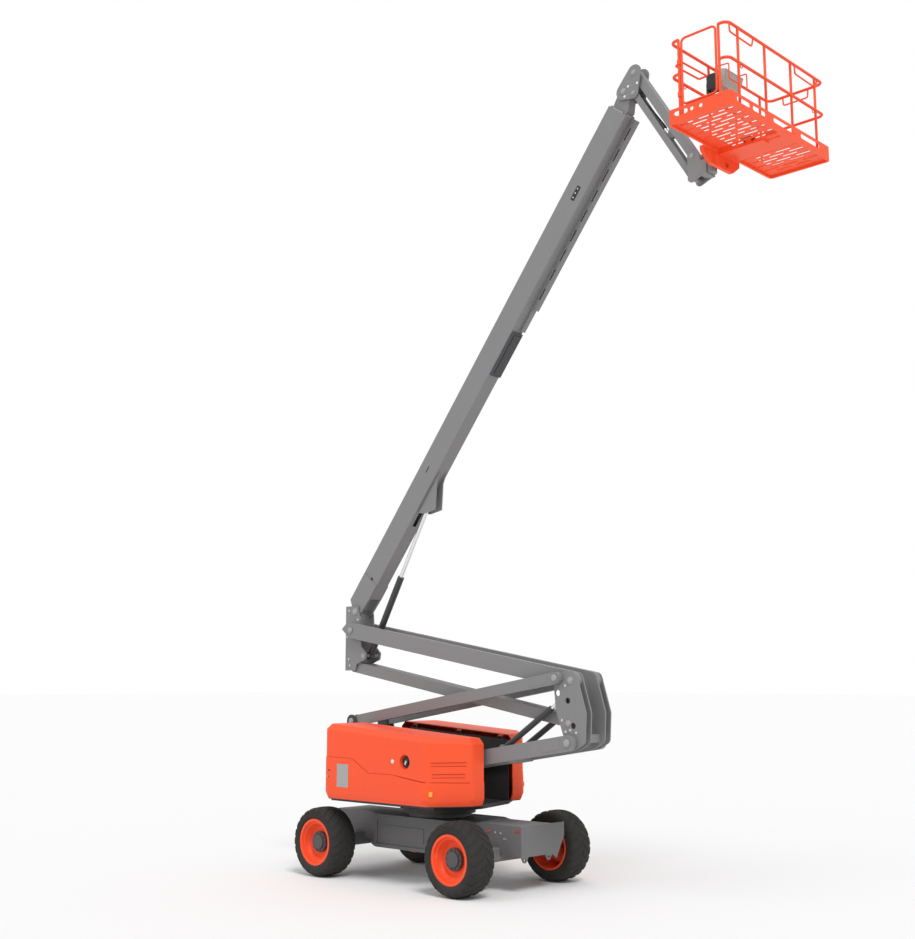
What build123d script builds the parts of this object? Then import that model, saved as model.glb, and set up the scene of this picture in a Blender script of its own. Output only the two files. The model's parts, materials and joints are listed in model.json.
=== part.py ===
"""Articulating boom lift with a two-stage riser, a telescopic boom, a jib and a work platform.

Millimetres, +Z up, +X towards the platform, +Y to the machine's left.
The origin is on the ground under the turntable's slewing axis.
"""
from build123d import *
from math import atan2, cos, degrees, hypot, radians, sin, sqrt, tan
import os

# ---------------------------------------------------------------- running gear
wheelbase = 2790
overall_width = 2490
tyre_diameter = 1000
tyre_width = 445
tyre_facets = 32      # flats round the casing
casing_radius = 484   # casing under the lugs, at the flats' corners
shoulder_radius = 458
shoulder_run = 52     # width of each sloping shoulder
bead_radius = 372
bead_depth = 41       # bead seat inside the sidewall
lug_count = 16        # tread lugs on each side of the centre line
lug_lean = 24         # degrees
lug_root = 48         # lug's width near the centre line
lug_tip = 66          # and at the shoulder
lug_start = 4         # lug's ends from the centre line and the sidewall
lug_margin = 28
rim_seat_radius = 320
rim_flange_radius = 336
rim_wall = 12
hub_disc_radius = 125
dish_depth = 140
kingpin_spacing = 1720
axle_beam_height = 190
axle_beam_length = 220
spindle_radius = 55
# ---------------------------------------------------------------- chassis
chassis_length = 3800
chassis_half_width = 500
nose_half_width = 330
chassis_bottom = 420
nose_bottom = 490
chassis_top = 900
taper_start = 850
taper_end = 1120
bumper_reach = 600    # corner plate's edge from the centre plane
bumper_thickness = 12
lug_y = 250           # tie-down bore beside the centre plane
lug_drop = 35         # tie-down bore below the nose
lug_radius = 42
lug_bore = 21
lug_thickness = 25
# ---------------------------------------------------------------- turntable
ring_radius = 540
ring_top = 1030
deck_bottom = 1100
deck_top = 1150
side_wall_inner = 400
side_wall = 14
cover_wall = 12
cover_step = 8        # how far the lower skin stands out past the upper
cover_edge = 78       # bevel round the roof
cover_lip = 40        # how far the skin turns in at its foot
cover_lip_height = 95
cover_corner = 150    # rear corner's radius
nose_corner = 112
# crease between the lower and upper skin (x, z)
cover_crease = ((-1400, 1750), (-610, 1740), (-250, 1550), (260, 1550), (760, 1480), (1600, 1455))
# sunken bars in the angled nose: height, length, width
nose_bars = ((1720, 520, 50), (1565, 470, 50))
bar_depth = 5
latch_x, latch_z = 500, 1740
latch_radius = 100
latch_depth = 50
cover_half_width = 1200
cover_rear = -1280
cover_rear_top = 2235
cover_nose_top = 2065
cover_inboard = 430
cover_hinge_y = 437
cover_hinge_drop = 32     # hinge line below the roof
hinge_eye = 80
hinge_pin_radius = 9
hinge_blade_radius = 17   # stays inside the roof's underside as the cover turns
hinge_stations = (-950, 0, 850)
deck_reach = 1010
tray_thickness = 10
tower_rear = -1740
side_wall_rear = -1050
# ---------------------------------------------------------------- clearances
fit = 0.05            # radial clearance of a pin in its bore
seat = 0.3            # gap where one piece rests on or slides along another
# ---------------------------------------------------------------- riser, side view (x, z)
lower_link_foot = (-1550, 2239)
lower_link_head = (2547, 2902)
lower_arm_head = (2750, 2045)
upper_arm_head = (2750, 2870)
upper_link_head = (2710, 2300)
upper_arm_tail = (-1760, 3650)
riser_gusset_pin = (1500, 1930)
riser_rod_pin = (2593, 2641)
riser_pin_radius = 32
knuckle_holes = ((2529, 2700), (2700, 2600), (2790, 2270))      # lightening holes, side view
knuckle_hole_radius = 42
# lanes: how far each beam or plate lies from the centre plane (inner, outer)
inner_plate = (140, 165)
outer_plate = (257, 277)
upper_arm_lane = (172, 250)
lower_arm_lane = (284, 362)
pivot_cheek = (369, 394)
upper_link_half_width = 130
lower_arm_depth = 210
lower_link_depth = 160
upper_arm_depth = 240
upper_link_depth = 165
# ---------------------------------------------------------------- boom
boom_pivot = (-1750, 3950)
boom_angle = 51.3
boom_width = 240
boom_above = 266      # from the pivot line to the top of the base section
boom_below = 114
boom_wall = 12
boom_length = 8670    # pivot to the open end of the base section
section_gap = 12      # between nested sections
inner_rear = 2700     # rear end of the nested sections, from the pivot
# cable tray under the base section: rear end, front end, depth of each tier
tray_tiers = ((5260, 5640, 38), (5640, 8670, 80))
tray_y = 75
tray_width = 84
tray_wall = 5
tray_pitch = 318
boom_cylinder_foot = (-1550, 3250)
boom_rod_pin = (2140, -190)     # along the boom and above the pivot line
boom_rod_tail = 780             # rod's inner end from the cylinder's foot
# ---------------------------------------------------------------- boom head and jib, side view
head_reach = 263      # from the base section's open end to the head pin, along the boom
head_above = 152      # head pin above the boom's pivot line
head_radius = 95
jib_pin_offset = (182, 221)         # from the head pin (x, z)
jib_link_pin_offset = (167, -79)
jib_length = 1752
jib_angle = -58.7
head_cheek = (86, 106)
jib_arm_width = 130
jib_arm_depth = 120
jib_link_lane = (52, 80)
jib_link_depth = 85
jib_rod_pin = (1178, -110)      # along the jib arm and above its centre line
# ---------------------------------------------------------------- platform
rotator_reach = 221       # rotator's axis ahead of the jib arm's lower pin
platform_drop = 55        # floor's underside below the same pin
platform_gap = 170        # rotator's axis to the platform's rear edge
platform_depth = 910
platform_width = 2440
rail_height = 1117
rail_tube = 19
floor_thickness = 40
tread_plate = 4           # tread plate's height above the floor's rim
tread_inset = 72          # tread plate's edge inside the platform's edge
slot_length = 215
slot_width = 42
slot_pitch = 90
slot_fields = ((-1060, 13), (430, 8))     # y of the first row, rows
apron_reach = 430         # half width of the bracket's apron
apron_depth = 195
toe_height = 150
# cut-outs in the front toe board (y, length) and round holes in the short right-hand one (x from its rear)
toe_slots = ((-930, 290), (-570, 290), (0, 460), (680, 480))
toe_holes = (360, 490)
toe_slot_height = 62


def shifted(point, dx, dz):
    """A side-view point moved by (dx, dz)."""
    return (point[0] + dx, point[1] + dz)


def distance(a, b):
    return hypot(b[0] - a[0], b[1] - a[1])


def slope(a, b):
    """Angle in degrees of the line from a to b in side view."""
    return degrees(atan2(b[1] - a[1], b[0] - a[0]))


def side_plane(point, y, angle=0.0):
    """Side-view sketch plane at a point; what is grown on it grows to -Y."""
    direction = (cos(radians(angle)), 0, sin(radians(angle)))
    return Plane(origin=(point[0], y, point[1]), x_dir=direction, z_dir=(0, -1, 0))


def pair(point, lane, angle=0.0):
    """The side planes of a lane on both sides, for growing by the lane's width."""
    return [side_plane(point, -lane[0], angle), side_plane(point, lane[1], angle)]


def lane_width(lane):
    return lane[1] - lane[0]


def cross_pin(point, radius, half_width, mode=Mode.ADD):
    """A round bar or bore across the machine."""
    with BuildSketch(side_plane(point, half_width)) as profile:
        Circle(radius)
    extrude(profile.sketch, amount=2 * half_width, mode=mode)


def stub_pins(point, radius, inner, outer, mode=Mode.ADD):
    """A pair of short bars or bores, one on each side."""
    with BuildSketch(*pair(point, (inner, outer))) as profile:
        Circle(radius)
    extrude(profile.sketch, amount=outer - inner, mode=mode)


def hull_plates(outline, lane, origin=(0, 0), angle=0.0):
    """A pair of plates round the outline's circles, given as (x, z, radius)."""
    with BuildSketch(*pair(origin, lane, angle)) as profile:
        for x, z, radius in outline:
            with Locations((x, z)):
                Circle(radius)
        make_hull()
    extrude(profile.sketch, amount=lane_width(lane))


def cross_box(centre, length, height, half_width, angle=0.0, mode=Mode.ADD):
    """A box across the machine, seen in side view at an angle."""
    with BuildSketch(side_plane(centre, half_width, angle)) as profile:
        Rectangle(length, height)
    extrude(profile.sketch, amount=2 * half_width, mode=mode)


def finish(builder, name):
    """Label a finished piece and write it."""
    builder.part.label = name
    export_step(builder.part, f"parts/{name}.step")


os.makedirs("parts", exist_ok=True)

# pins that follow from the driving ones: both riser stages are parallelograms
riser_vector = (lower_link_head[0] - lower_link_foot[0], lower_link_head[1] - lower_link_foot[1])
lower_arm_foot = shifted(lower_arm_head, -riser_vector[0], -riser_vector[1])
upper_vector = (upper_arm_tail[0] - upper_arm_head[0], upper_arm_tail[1] - upper_arm_head[1])
upper_link_tail = shifted(upper_link_head, upper_vector[0], upper_vector[1])
riser_length = hypot(*riser_vector)
riser_angle = degrees(atan2(riser_vector[1], riser_vector[0]))
upper_length = hypot(*upper_vector)
upper_angle = slope(upper_arm_tail, upper_arm_head)


def boom_point(along, above):
    """Side-view point at a distance along the boom and above its pivot line."""
    c, s = cos(radians(boom_angle)), sin(radians(boom_angle))
    return (boom_pivot[0] + along * c - above * s, boom_pivot[1] + along * s + above * c)


head_pin = boom_point(boom_length + head_reach, head_above)
jib_pin = shifted(head_pin, *jib_pin_offset)
jib_link_pin = shifted(head_pin, *jib_link_pin_offset)
jib_vector = (jib_length * cos(radians(jib_angle)), jib_length * sin(radians(jib_angle)))
jib_end_pin = shifted(jib_pin, *jib_vector)
jib_end_link_pin = shifted(jib_link_pin, *jib_vector)
rotator_x = jib_end_pin[0] + rotator_reach
platform_rear = rotator_x + platform_gap
platform_bottom = jib_end_pin[1] - platform_drop

wheel_radius = tyre_diameter / 2
track = overall_width - tyre_width
# name, x, side (+1 is the machine's left)
wheels = [
    ("front_right", wheelbase / 2, -1),
    ("front_left", wheelbase / 2, 1),
    ("rear_right", -wheelbase / 2, -1),
    ("rear_left", -wheelbase / 2, 1),
]


def wheel_plane(x, side):
    """Plane through a wheel's axis: local x is radial, local y points outboard."""
    return Plane(origin=(x, side * track / 2, wheel_radius), x_dir=(1, 0, 0), z_dir=(0, 0, side))


def axle_plane(x, side, reach):
    """Plane across a wheel's axis at a distance from the centre plane, growing outboard."""
    return Plane(origin=(x, side * reach, wheel_radius), x_dir=(1, 0, 0), z_dir=(0, side, 0))


def tyre_plane(reach, grow=1):
    """Plane across the tyre's axis at a distance outboard, growing outboard or inboard."""
    return Plane(origin=(0, reach, 0), x_dir=(1, 0, 0), z_dir=(0, grow, 0))


disc_y = tyre_width / 2 - 20 - dish_depth
half = tyre_width / 2
flat = cos(radians(180 / tyre_facets))        # a flat's distance over its corners'
shoulder_taper = degrees(atan2((casing_radius - shoulder_radius) * flat, shoulder_run))
bead_taper = degrees(atan2((bead_radius - rim_flange_radius - 4) * flat, bead_depth))
# ---------------------------------------------------------------- wheels
with BuildPart() as tread:
    with BuildSketch(tyre_plane(shoulder_run - half)):
        RegularPolygon(casing_radius, tyre_facets)
    extrude(amount=tyre_width - 2 * shoulder_run)
    for side in (-1, 1):
        with BuildSketch(tyre_plane(side * (half - shoulder_run), side)):
            RegularPolygon(casing_radius, tyre_facets)
        extrude(amount=shoulder_run, taper=shoulder_taper)
    # leaning lugs in two staggered rows, each out over its shoulder
    lug_foot = shoulder_radius * flat - 4
    lug_ends = (lug_start, half - lug_margin)
    skew = (lug_ends[1] - lug_ends[0]) / 2 * tan(radians(lug_lean))
    lug_crest = sqrt(wheel_radius ** 2 - (skew + lug_tip / 2) ** 2)
    tip_turn = atan2(skew + lug_tip / 2, lug_crest)      # a lug's tip ahead of its middle
    for side in (-1, 1):
        for k in range(lug_count):
            turn = radians(360 / lug_count * (k + (1 - side) / 4)) - tip_turn
            with BuildSketch(Plane(origin=(lug_foot * cos(turn), 0, lug_foot * sin(turn)),
                                   x_dir=(0, side, 0), z_dir=(cos(turn), 0, sin(turn)))):
                with BuildLine():
                    lean = side * skew
                    Polyline(
                        (lug_ends[0], -lean - lug_root / 2), (lug_ends[1], lean - lug_tip / 2),
                        (lug_ends[1], lean + lug_tip / 2), (lug_ends[0], -lean + lug_root / 2), close=True)
                make_face()
            extrude(amount=lug_crest - lug_foot)
    with BuildSketch(tyre_plane(-half)):
        RegularPolygon((rim_seat_radius + seat) / flat, tyre_facets)
    extrude(amount=tyre_width, mode=Mode.SUBTRACT)
    for side in (-1, 1):
        with BuildSketch(tyre_plane(side * half, -side)):
            RegularPolygon(bead_radius, tyre_facets)
        extrude(amount=bead_depth, taper=bead_taper, mode=Mode.SUBTRACT)

for name, x, side in wheels:
    section = wheel_plane(x, side)
    spin_axis = Axis((x, side * track / 2, wheel_radius), (0, side, 0))
    with BuildPart() as tyre:
        with Locations(Location((x, side * track / 2, wheel_radius), (0, 0, 90 - side * 90))):
            add(tread.part)
    finish(tyre, f"tyre_{name}")

    with BuildPart() as rim:
        with BuildSketch(section):
            with BuildLine():
                Polyline(
                    (0, disc_y + 30), (hub_disc_radius, disc_y + 30), (hub_disc_radius, disc_y),
                    (225, disc_y), (265, disc_y + 60), (265, half - 60), (300, half - 60),
                    (300, half - 22), (rim_flange_radius, half - 22), (rim_flange_radius, half - 34),
                    (rim_seat_radius, half - 40), (rim_seat_radius, -half + 40),
                    (rim_flange_radius, -half + 34), (rim_flange_radius, -half + 22),
                    (rim_seat_radius - rim_wall, -half + 22),
                    (rim_seat_radius - rim_wall, half - 60 - rim_wall),
                    (265 + rim_wall, half - 60 - rim_wall), (265 + rim_wall, disc_y + 54),
                    (225 + rim_wall, disc_y - rim_wall), (0, disc_y - rim_wall), close=True)
            make_face()
        revolve(axis=spin_axis)
        with BuildSketch(axle_plane(x, side, track / 2 + disc_y - rim_wall)):
            Circle(spindle_radius + fit)
        extrude(amount=30, mode=Mode.SUBTRACT)
    finish(rim, f"rim_{name}")

# ---------------------------------------------------------------- axles and steering knuckles
kingpin_reach = kingpin_spacing / 2
spindle_end = track / 2 + disc_y - rim_wall + 29
knuckle_half = 95
for end, x in (("front", wheelbase / 2), ("rear", -wheelbase / 2)):
    with BuildPart() as axle:
        beam_reach = kingpin_reach - 80 if end == "front" else kingpin_reach
        with BuildSketch(Plane(origin=(x, beam_reach, wheel_radius), x_dir=(1, 0, 0), z_dir=(0, -1, 0))):
            RectangleRounded(axle_beam_length, axle_beam_height, 25)
        extrude(amount=2 * beam_reach)
        for side in (-1, 1):
            if end == "rear":
                with BuildSketch(axle_plane(x, side, kingpin_reach - 1)):
                    Circle(105)
                extrude(amount=60)
                with BuildSketch(axle_plane(x, side, kingpin_reach + 50)):
                    Circle(spindle_radius)
                extrude(amount=spindle_end - kingpin_reach - 50)
                continue
            for low in (-knuckle_half - 30, knuckle_half):
                with BuildSketch(Plane.XY.offset(wheel_radius + low)):
                    with Locations((x, side * kingpin_reach)):
                        Circle(70)
                    with Locations((x, side * (kingpin_reach - 70))):
                        Rectangle(140, 140)
                extrude(amount=30)
            with Locations((x, side * (kingpin_reach - 95), wheel_radius)):
                Box(140, 60, 2 * knuckle_half + 60)
    finish(axle, f"{end}_axle")

for name, x, side in wheels[:2]:
    with BuildPart() as steer_knuckle:
        with BuildSketch(Plane.XY.offset(wheel_radius - knuckle_half + seat)):
            with Locations((x, side * kingpin_reach)):
                Circle(58)
        extrude(amount=2 * (knuckle_half - seat))
        with BuildSketch(axle_plane(x, side, kingpin_reach)):
            Circle(spindle_radius)
        extrude(amount=spindle_end - kingpin_reach)
    finish(steer_knuckle, f"knuckle_{name}")

# ---------------------------------------------------------------- chassis
half_length = chassis_length / 2
tunnel_top = wheel_radius + axle_beam_height / 2
with BuildPart() as chassis:
    with BuildSketch(Plane.XY.offset(chassis_bottom)):
        with BuildLine():
            waist = [
                (taper_start, chassis_half_width), (taper_end, nose_half_width),
                (half_length, nose_half_width)]
            front_left = [(x, y) for x, y in waist]
            front_right = [(x, -y) for x, y in reversed(waist)]
            rear_right = [(-x, -y) for x, y in waist]
            rear_left = [(-x, y) for x, y in reversed(waist)]
            Polyline(*front_left, *front_right, *rear_right, *rear_left, close=True)
        make_face()
    extrude(amount=chassis_top - chassis_bottom)
    # the noses rise clear of the ground
    for end in (-1, 1):
        with Locations((end * (taper_end + half_length) / 2, 0, (chassis_bottom + nose_bottom) / 2)):
            Box(half_length - taper_end, 2 * nose_half_width + 2, nose_bottom - chassis_bottom,
                mode=Mode.SUBTRACT)
        with Locations((end * wheelbase / 2, 0, (nose_bottom + tunnel_top) / 2)):
            Box(axle_beam_length + 2 * seat, 2 * nose_half_width + 2, tunnel_top - nose_bottom + 0.001,
                mode=Mode.SUBTRACT)
    # sunken panels along both sides
    for side in (-1, 1):
        with Locations((-285, side * chassis_half_width, 640)):
            Box(1070, 40, 340, mode=Mode.SUBTRACT)
    # raised middle of each sunken panel
    for side in (-1, 1):
        with BuildSketch(Plane(origin=(-285, side * (chassis_half_width - 21), 640), x_dir=(1, 0, 0),
                               z_dir=(0, side, 0))):
            RectangleRounded(900, 210, 30)
        extrude(amount=9)
    # bumper plate at the front left corner
    with BuildSketch(Plane(origin=(half_length - 24, 0, 0), x_dir=(0, 1, 0), z_dir=(1, 0, 0))):
        with BuildLine():
            FilletPolyline(
                (nose_half_width - 5, nose_bottom + 5), (nose_half_width + 100, chassis_bottom),
                (bumper_reach, chassis_top - 180), (bumper_reach, chassis_top),
                (nose_half_width - 5, chassis_top), radius=[10, 10, 70, 2, 2], close=True)
        make_face()
    extrude(amount=bumper_thickness)
    # tie-down lugs under the noses' ends, each with a shackle bore
    for end in (-1, 1):
        lug_face = Plane(origin=(end * half_length, 0, nose_bottom), x_dir=(0, 1, 0), z_dir=(-end, 0, 0))
        for y in (-lug_y, lug_y):
            with BuildSketch(lug_face):
                with Locations((y, end * lug_drop)):
                    Circle(lug_radius)
                with Locations((y, -end * 15)):
                    Rectangle(2 * lug_radius + 50, 30)
                make_hull()
                with Locations((y, end * lug_drop)):
                    Circle(lug_bore, mode=Mode.SUBTRACT)
            extrude(amount=lug_thickness)
    # pedestal of the slewing ring
    with BuildSketch(Plane.XY.offset(chassis_top - 1)):
        Circle(ring_radius - 90)
    extrude(amount=51)
finish(chassis, "chassis_frame")

with BuildPart() as slew_ring:
    with BuildSketch(Plane.XY.offset(chassis_top + 50)):
        Circle(ring_radius)
    extrude(amount=ring_top - chassis_top - 50)
finish(slew_ring, "slew_ring")

# ---------------------------------------------------------------- turntable
# x of the nose end, its distance from the centre plane, x of the bend; per side
cover_noses = {-1: (1310, 660, 900), 1: (1080, 660, 600)}
hinge_slope = (cover_nose_top - cover_rear_top) / (cover_noses[-1][0] - cover_rear)


def hinge_height(x):
    """Height of the covers' sloping hinge line."""
    return cover_rear_top - cover_hinge_drop + (x - cover_rear) * hinge_slope


def hinge_plane(x, side):
    """Plane across a cover's hinge line, growing to the front."""
    run = hypot(1, hinge_slope)
    return Plane(origin=(x, side * cover_hinge_y, hinge_height(x)), x_dir=(0, 1, 0),
                 z_dir=(1 / run, 0, hinge_slope / run))


def cover_outline(height, side, inset):
    """A cover's plan at a height, drawn inside its skin by the inset."""
    nose_x, nose_y, bend_x = cover_noses[side]
    reach = side * (cover_half_width - inset)
    with BuildSketch(Plane.XY.offset(height)) as profile:
        with BuildLine():
            skin = FilletPolyline(
                (cover_rear + inset, side * 300), (cover_rear + inset, reach), (bend_x, reach),
                (nose_x - inset, side * (nose_y - 0.4 * inset)), (nose_x - inset, side * 300),
                radius=[cover_corner - inset, 150, nose_corner - inset])
            Line(skin @ 1, skin @ 0)
        make_face()
    return profile.sketch


with BuildPart() as turntable:
    with BuildSketch(Plane.XY.offset(ring_top + seat)):
        Circle(ring_radius - 40)
    extrude(amount=deck_bottom - ring_top + 1)
    # deck, and a thin tray under both covers that their skins rest on
    with BuildSketch(Plane.XY.offset(deck_bottom)):
        with BuildLine():
            Polyline(
                (tower_rear, -pivot_cheek[1]), (cover_rear + 5, -pivot_cheek[1]),
                (cover_rear + 5, -deck_reach), (cover_noses[-1][2], -deck_reach),
                (cover_noses[-1][0] - 60, -cover_noses[-1][1] + 60),
                (cover_noses[-1][0] - 60, -side_wall_inner), (cover_noses[1][0] - 60, side_wall_inner),
                (cover_noses[1][2], deck_reach),
                (cover_rear + 5, deck_reach), (cover_rear + 5, pivot_cheek[1]), (tower_rear, pivot_cheek[1]),
                close=True)
        make_face()
    extrude(amount=deck_top - deck_bottom)
    for side in (-1, 1):
        extrude(cover_outline(deck_top - tray_thickness, side, cover_lip + 5), amount=tray_thickness)
    # walls between the covers and the riser, which carry the covers' hinges
    for side in (-1, 1):
        front = cover_noses[side][0] - 65
        with BuildSketch(side_plane((0, 0), side * (side_wall_inner + side_wall / 2) + side_wall / 2)):
            with BuildLine():
                Polyline((side_wall_rear, deck_top - 1), (front, deck_top - 1), (front, hinge_height(front) - 40),
                         (side_wall_rear, hinge_height(side_wall_rear) - 40), close=True)
            make_face()
        extrude(amount=side_wall)
        blade_reach = cover_hinge_y - side_wall_inner
        for x in hinge_stations:
            for start in (x - hinge_eye / 2 - 13, x + hinge_eye / 2 + 1):
                with BuildSketch(hinge_plane(start, side)):
                    Circle(hinge_blade_radius)
                    with Locations((-side * blade_reach / 2, -30)):
                        Rectangle(blade_reach, 60)
                extrude(amount=12)
            with BuildSketch(hinge_plane(x - hinge_eye / 2 - 2, side)):
                Circle(hinge_pin_radius)
            extrude(amount=hinge_eye + 4)
    # tower cheeks that carry the riser's feet
    for lane in (outer_plate, pivot_cheek):
        hull_plates([(*lower_link_foot, 100), (*lower_arm_foot, 110), (-1650, deck_top + 20, 60),
                     (-1100, deck_top + 20, 60)], lane)
    for point in (lower_link_foot, lower_arm_foot):
        stub_pins(point, riser_pin_radius, outer_plate[1] - 1, pivot_cheek[0] + 1)
    for side in (-1, 1):
        with Locations((-1680, side * 325, 1450)):
            Box(30, 130, 600)
finish(turntable, "turntable_frame")

with BuildPart() as counterweight:
    with BuildSketch(Plane.XY.offset(deck_top)):
        with Locations((-1150, 0)):
            RectangleRounded(900, 490, 60)
    extrude(amount=330)
finish(counterweight, "counterweight")

with BuildPart() as engine:
    with Locations((-350, 760, deck_top + 330)):
        Box(1100, 520, 660)
finish(engine, "engine_block")


def cover_volume(side, inset):
    """The space inside a cover's lower skin, or inside the upper from the step on."""
    lip_turn = degrees(atan2(cover_lip, cover_lip_height))
    with BuildPart() as volume:
        for amount, taper in ((1400, 0), (-cover_lip_height, lip_turn)):
            extrude(cover_outline(deck_top + seat + cover_lip_height, side, inset), amount=amount, taper=taper)
        # sloping roof
        with BuildSketch(side_plane((0, 0), cover_half_width + 50)):
            with BuildLine():
                Polyline(
                    (cover_rear - 50, cover_rear_top - 50 * hinge_slope - inset + cover_step),
                    (cover_noses[-1][0] + 50, cover_nose_top + 50 * hinge_slope - inset + cover_step),
                    (cover_noses[-1][0] + 50, 3000), (cover_rear - 50, 3000), close=True)
            make_face()
        extrude(amount=2 * cover_half_width + 100, mode=Mode.SUBTRACT)
        roof = volume.faces().sort_by(Axis.Z)[-1]
        chamfer(roof.edges(), cover_edge - 0.586 * max(0, inset - cover_step))
    return volume.part


for name, side in (("cover_right", -1), ("cover_left", 1)):
    nose_x, nose_y, bend_x = cover_noses[side]
    lower_skin = cover_volume(side, 0)
    upper_skin = cover_volume(side, cover_step)
    hollow = cover_volume(side, cover_step + cover_wall)
    with BuildPart() as cover:
        add(lower_skin)
        with BuildSketch(side_plane((0, 0), cover_half_width + 50)):
            with BuildLine():
                Polyline(*cover_crease, (cover_crease[-1][0], 3000), (cover_crease[0][0], 3000), close=True)
            make_face()
        extrude(amount=2 * cover_half_width + 100, mode=Mode.SUBTRACT)
        add(upper_skin)
        # cup round the latch
        latch_face = Plane(origin=(latch_x, side * (cover_half_width - cover_step), latch_z), x_dir=(1, 0, 0),
                           z_dir=(0, -side, 0))
        add(hollow, mode=Mode.SUBTRACT)
        with BuildSketch(latch_face.offset(1)):
            Circle(latch_radius + 10)
        extrude(amount=latch_depth + 9)
        with BuildSketch(latch_face.offset(-10)):
            Circle(latch_radius)
        extrude(amount=latch_depth + 10, mode=Mode.SUBTRACT)
        # sunken bars in the angled face of the nose
        run = hypot(nose_x - bend_x, cover_half_width - nose_y)
        outward = ((cover_half_width - nose_y) / run, side * (nose_x - bend_x) / run, 0)
        for z, length, width in nose_bars:
            middle = ((nose_x + bend_x) / 2, side * (cover_half_width + nose_y) / 2, z)
            face = Plane(origin=middle, x_dir=(outward[1], -outward[0], 0), z_dir=outward)
            with BuildSketch(face.offset(-cover_step - bar_depth)):
                SlotOverall(length, width)
            extrude(amount=4 * bar_depth, mode=Mode.SUBTRACT)
        with Locations((0, side * (cover_inboard - 200), 1700)):
            Box(4000, 400, 1600, mode=Mode.SUBTRACT)
        for x in hinge_stations:
            with BuildSketch(hinge_plane(x - hinge_eye / 2, side)):
                Circle(21)
                with Locations((0, 14)):
                    Rectangle(12, 12)
            extrude(amount=hinge_eye)
            with BuildSketch(hinge_plane(x - hinge_eye / 2 - 1, side)):
                Circle(hinge_pin_radius + fit)
            extrude(amount=hinge_eye + 2, mode=Mode.SUBTRACT)
    finish(cover, name)

# ---------------------------------------------------------------- riser
with BuildPart() as lower_arm:
    with BuildSketch(*pair(lower_arm_foot, lower_arm_lane, riser_angle)):
        with Locations((riser_length / 2, 0)):
            SlotCenterToCenter(riser_length, lower_arm_depth)
    extrude(amount=lane_width(lower_arm_lane))
    cross_box((lower_arm_foot[0] + 900, lower_arm_foot[1] + 146), 160, 150, lower_arm_lane[0] + 1, riser_angle)
    cross_box(shifted(riser_gusset_pin, -30, -150), 240, 130, lower_arm_lane[0] + 1, riser_angle)
    for point in (lower_arm_foot, lower_arm_head):
        stub_pins(point, riser_pin_radius + fit, lower_arm_lane[0] - 1, lower_arm_lane[1] + 1, Mode.SUBTRACT)
    # lugs for the riser cylinders
    for lane in ((154, 164), (256, 266)):
        hull_plates([(*riser_gusset_pin, 55), (riser_gusset_pin[0] - 120, riser_gusset_pin[1] - 130, 30),
                     (riser_gusset_pin[0] + 60, riser_gusset_pin[1] - 100, 30)], lane)
    stub_pins(riser_gusset_pin, 25, 154, 266)
finish(lower_arm, "lower_arm")

with BuildPart() as lower_links:
    with BuildSketch(*pair(lower_link_foot, lower_arm_lane, riser_angle)):
        with Locations((riser_length / 2, 0)):
            SlotCenterToCenter(riser_length, lower_link_depth)
    extrude(amount=lane_width(lower_arm_lane))
    for point in (lower_link_foot, lower_link_head):
        stub_pins(point, riser_pin_radius + fit, lower_arm_lane[0] - 1, lower_arm_lane[1] + 1, Mode.SUBTRACT)
finish(lower_links, "lower_links")

knuckle_outline = [(2660, 2900, 100), (lower_link_head[0], lower_link_head[1] - 10, 90), (2600, 2500, 110),
                   (2760, 2040, 100), (2900, 2100, 90), (2920, 2430, 90), (2780, 2890, 90)]
with BuildPart() as knuckle:
    for lane in (inner_plate, outer_plate):
        hull_plates(knuckle_outline, lane)
    for point in (lower_arm_head, lower_link_head):
        stub_pins(point, riser_pin_radius, outer_plate[1] - 1, lower_arm_lane[1] + 8)
    stub_pins(upper_arm_head, riser_pin_radius, inner_plate[1] - 1, outer_plate[0] + 1)
    cross_pin(upper_link_head, riser_pin_radius, inner_plate[0] + 1)
    # boxes that tie the plates together
    for centre in ((2800, 2480), (2870, 2130)):
        for side in (-1, 1):
            with BuildSketch(side_plane(centre, 212 * side + 46)):
                Rectangle(90, 110)
            extrude(amount=92)
    cross_box((2860, 2100), 90, 110, inner_plate[0] + 1)
    for point in knuckle_holes:
        stub_pins(point, knuckle_hole_radius, outer_plate[0] - 1, outer_plate[1] + 1, Mode.SUBTRACT)
finish(knuckle, "riser_knuckle")

with BuildPart() as upper_arm:
    with BuildSketch(*pair(upper_arm_tail, upper_arm_lane, upper_angle)):
        with Locations((upper_length / 2, 0)):
            SlotCenterToCenter(upper_length, upper_arm_depth)
    extrude(amount=lane_width(upper_arm_lane))
    for point in (upper_arm_head, upper_arm_tail):
        stub_pins(point, riser_pin_radius + fit, upper_arm_lane[0] - 1, upper_arm_lane[1] + 1, Mode.SUBTRACT)
    for along in (2700, 3500):
        middle = shifted(upper_arm_tail, along * cos(radians(upper_angle)), along * sin(radians(upper_angle)))
        cross_box(middle, 160, 120, upper_arm_lane[0] + 1, upper_angle)
finish(upper_arm, "upper_arm")

with BuildPart() as upper_link:
    with BuildSketch(side_plane(upper_link_tail, upper_link_half_width, upper_angle)):
        with Locations((upper_length / 2, 0)):
            SlotCenterToCenter(upper_length, upper_link_depth)
    extrude(amount=2 * upper_link_half_width)
    for point in (upper_link_head, upper_link_tail):
        cross_pin(point, riser_pin_radius + fit, upper_link_half_width + 1, Mode.SUBTRACT)
finish(upper_link, "upper_link")

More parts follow.
